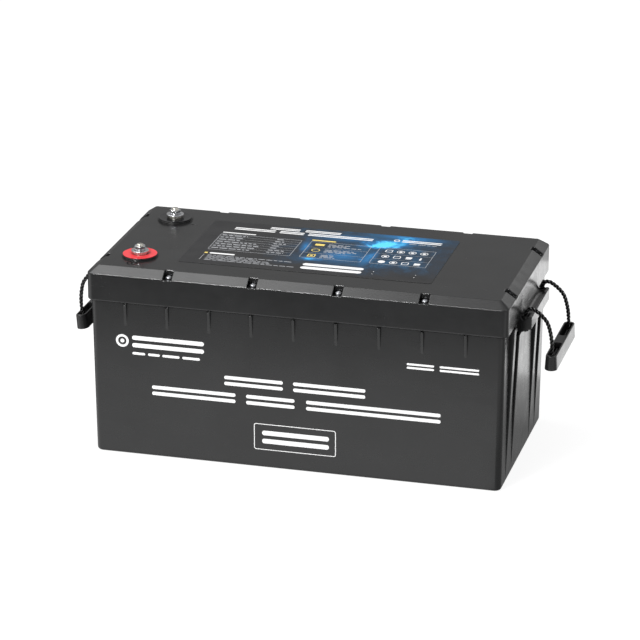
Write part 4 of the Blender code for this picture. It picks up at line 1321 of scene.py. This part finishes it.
def build_grip(side, sign, placed, grip_x, grip_z):
    """Long round-ended block with two slots from above and a tunnel for the rope."""
    low, high = span("right_grip")
    half_length, bottom, top = high[1], low[2], high[2]

    def stadium(half_width, z):
        points = []
        for end, start in ((1, 0.0), (-1, math.pi)):
            for k in range(15):
                a = start + math.pi * k / 14
                points.append((grip_x + half_width * math.cos(a),
                               end * (half_length - 6.9) + half_width * math.sin(a), z))
        return points

    def slots(mesh):
        # height above the grip's underside, half width, inset of the ends
        levels = ((4.6, 2.6, 1.4), (4.75, 3.3, 0.6), (5.4, 3.8, 0.1), (7.5, 3.95, 0.0),
                  (15.0, 4.4, 0.0), (16.5, 4.6, -0.2), (20.0, 4.75, -0.3))
        inner, outer = 12.0, 55.2
        for end in (-1, 1):
            add_loft(mesh, [rounded(half, (outer - inner) / 2 - inset, min(3.4, half - 0.1),
                                    bottom + rise, 6, (grip_x, end * (inner + outer) / 2))
                            for rise, half, inset in levels])

    def tunnel(mesh):
        stations = ((-16.0, 3.6), (-12.6, 3.6), (-11.6, 3.05),
                    (11.6, 3.05), (12.6, 3.6), (16.0, 3.6))     # y, radius
        angles = [2 * math.pi * k / 32 for k in range(32)]
        add_loft(mesh, [[(grip_x + r * math.cos(a), y, grip_z + r * math.sin(a))
                         for a in angles] for y, r in stations])

    profile = fillet([(4.6, bottom), (7.25, bottom), (6.25, top), (4.8, top)],
                     [0, 1.4, 1.0, 0], 5)
    grip = loft(f"{side}_grip_body", [stadium(half, z) for half, z in profile],
                MATERIALS["grip"])
    combine(grip, slots, "DIFFERENCE")
    combine(grip, tunnel, "DIFFERENCE")
    for vertex in grip.data.vertices:
        vertex.co = placed(vertex.co / MM) * MM
    if sign < 0:
        grip.data.flip_normals()
    shade(grip, 26, weighted=True)
    register(grip, f"{side}_grip", f"{side}_grip")


def joint_place(name):
    return Vector(JOINTS[name]["pos_m"]) / MM


def build_handle(side, sign):
    """Both handles share the right one's shape; each hangs at its own joints' angle."""
    pivot = joint_place(f"{side}_handle_swing")
    here = joint_place(f"{side}_grip_tilt") - pivot
    reach = joint_place("right_grip_tilt") - joint_place("right_handle_swing")
    hang = math.atan2(reach.x, -reach.z) - math.atan2(abs(here.x), -here.z)
    c, s = math.cos(hang), math.sin(hang)

    def placed(p):
        """Move a point given for the right-hand handle to this side."""
        dx, dz = p[0] - abs(pivot.x), p[2] - pivot.z
        return Vector((sign * (abs(pivot.x) + dx * c + dz * s), p[1],
                       pivot.z - dx * s + dz * c))

    grip_x, grip_z = abs(pivot.x) + reach.x, pivot.z + reach.z
    build_rope(side, rope_path(sign, placed, grip_x, grip_z))
    build_grip(side, sign, placed, grip_x, grip_z)


build_handle("right", 1)
build_handle("left", -1)

# ================================================================ studio (metres)
scene = bpy.context.scene
scene.view_settings.view_transform = "Standard"
scene.view_settings.look = "None"


def stage_floor():
    """Square grid just below the box."""
    size, count = 9.0, 24
    ticks = [-size / 2 + size * i / count for i in range(count + 1)]
    mesh = bmesh.new()
    grid = [[mesh.verts.new((x, y, -0.0003)) for y in ticks] for x in ticks]
    for i in range(count):
        for j in range(count):
            mesh.faces.new((grid[i][j], grid[i + 1][j], grid[i + 1][j + 1], grid[i][j + 1]))
    link("studio_floor", mesh, MATERIALS["floor"])


stage_floor()

# name, place, point aimed at, size, power (W)
LIGHTS = (
    ("overhead_softbox", (-1.56, 0.0, 2.3), (-1.1, 0.0, 0.0), (1.7, 2.2), 40.0),
    ("overhead_scrim", (-0.20, 0.0, 2.3), (-0.1, 0.0, 0.0), (0.95, 1.6), 4.0),
    ("front_strip", (-0.98, -2.48, 2.22), (-0.19, 0.0, 0.2), (0.60, 0.46), 80.0),
    ("front_strip_weak", (-0.44, -2.48, 2.22), (0.30, 0.0, 0.2), (0.48, 0.46), 22.0),
    ("fill_softbox", (1.5, 0.3, 2.4), (0.0, 0.0, 0.1), (1.3, 1.3), 6.0),
    ("right_card", (0.64, 0.25, 0.074), (0.64, -0.6, 0.074), (0.78, 0.150), 0.38),
    ("right_screen", (0.46, 1.25, 0.88), (0.24, -0.1, 0.24), (0.46, 0.66), 0.75),
)
for name, place, aim, size, power in LIGHTS:
    light = bpy.data.lights.new(name, "AREA")
    light.shape, light.energy = "RECTANGLE", power
    light.size, light.size_y = size
    ob = bpy.data.objects.new(name, light)
    scene.collection.objects.link(ob)
    ob.location = place
    ob.rotation_mode = "QUATERNION"
    ob.rotation_quaternion = (Vector(aim) - Vector(place)).to_track_quat("-Z", "Y")
    ob.visible_camera = False

# ================================================================ world
WORLD_SEEN, WORLD_LIGHT = 1.05, 0.34    # brightness to the camera, and as light on the scene
world = bpy.data.worlds.new("studio")
scene.world = world
world.use_nodes = True
tree = world.node_tree
tree.nodes.clear()
output = tree.nodes.new("ShaderNodeOutputWorld")
mixer = tree.nodes.new("ShaderNodeMixShader")
rays = tree.nodes.new("ShaderNodeLightPath")
tree.links.new(rays.outputs["Is Camera Ray"], mixer.inputs[0])
for slot, strength in ((1, WORLD_LIGHT), (2, WORLD_SEEN)):
    background = tree.nodes.new("ShaderNodeBackground")
    background.inputs[0].default_value = (1, 1, 1, 1)
    background.inputs[1].default_value = strength
    tree.links.new(background.outputs[0], mixer.inputs[slot])
tree.links.new(mixer.outputs[0], output.inputs[0])

# ================================================================ camera
AZIMUTH, ELEVATION, ROLL = (math.radians(q) for q in (14.77, 20.22, 0.13))
DISTANCE = 3.7005
TARGET = Vector((-0.00133, 0.0, 0.14165))
camera_data = bpy.data.cameras.new("camera")
camera = bpy.data.objects.new("camera", camera_data)
scene.collection.objects.link(camera)
forward = Vector((-math.sin(AZIMUTH) * math.cos(ELEVATION),
                  math.cos(AZIMUTH) * math.cos(ELEVATION), -math.sin(ELEVATION)))
right = forward.cross(Vector((0, 0, 1))).normalized()
up = right.cross(forward)
rolled_right = right * math.cos(ROLL) + up * math.sin(ROLL)
rolled_up = -right * math.sin(ROLL) + up * math.cos(ROLL)
axes = Matrix((rolled_right, rolled_up, -forward)).transposed().to_4x4()
camera.matrix_world = Matrix.Translation(TARGET - forward * DISTANCE) @ axes
camera_data.sensor_width = 36.0
camera_data.lens = 180.82125
camera_data.clip_start, camera_data.clip_end = 0.05, 60.0
scene.camera = camera
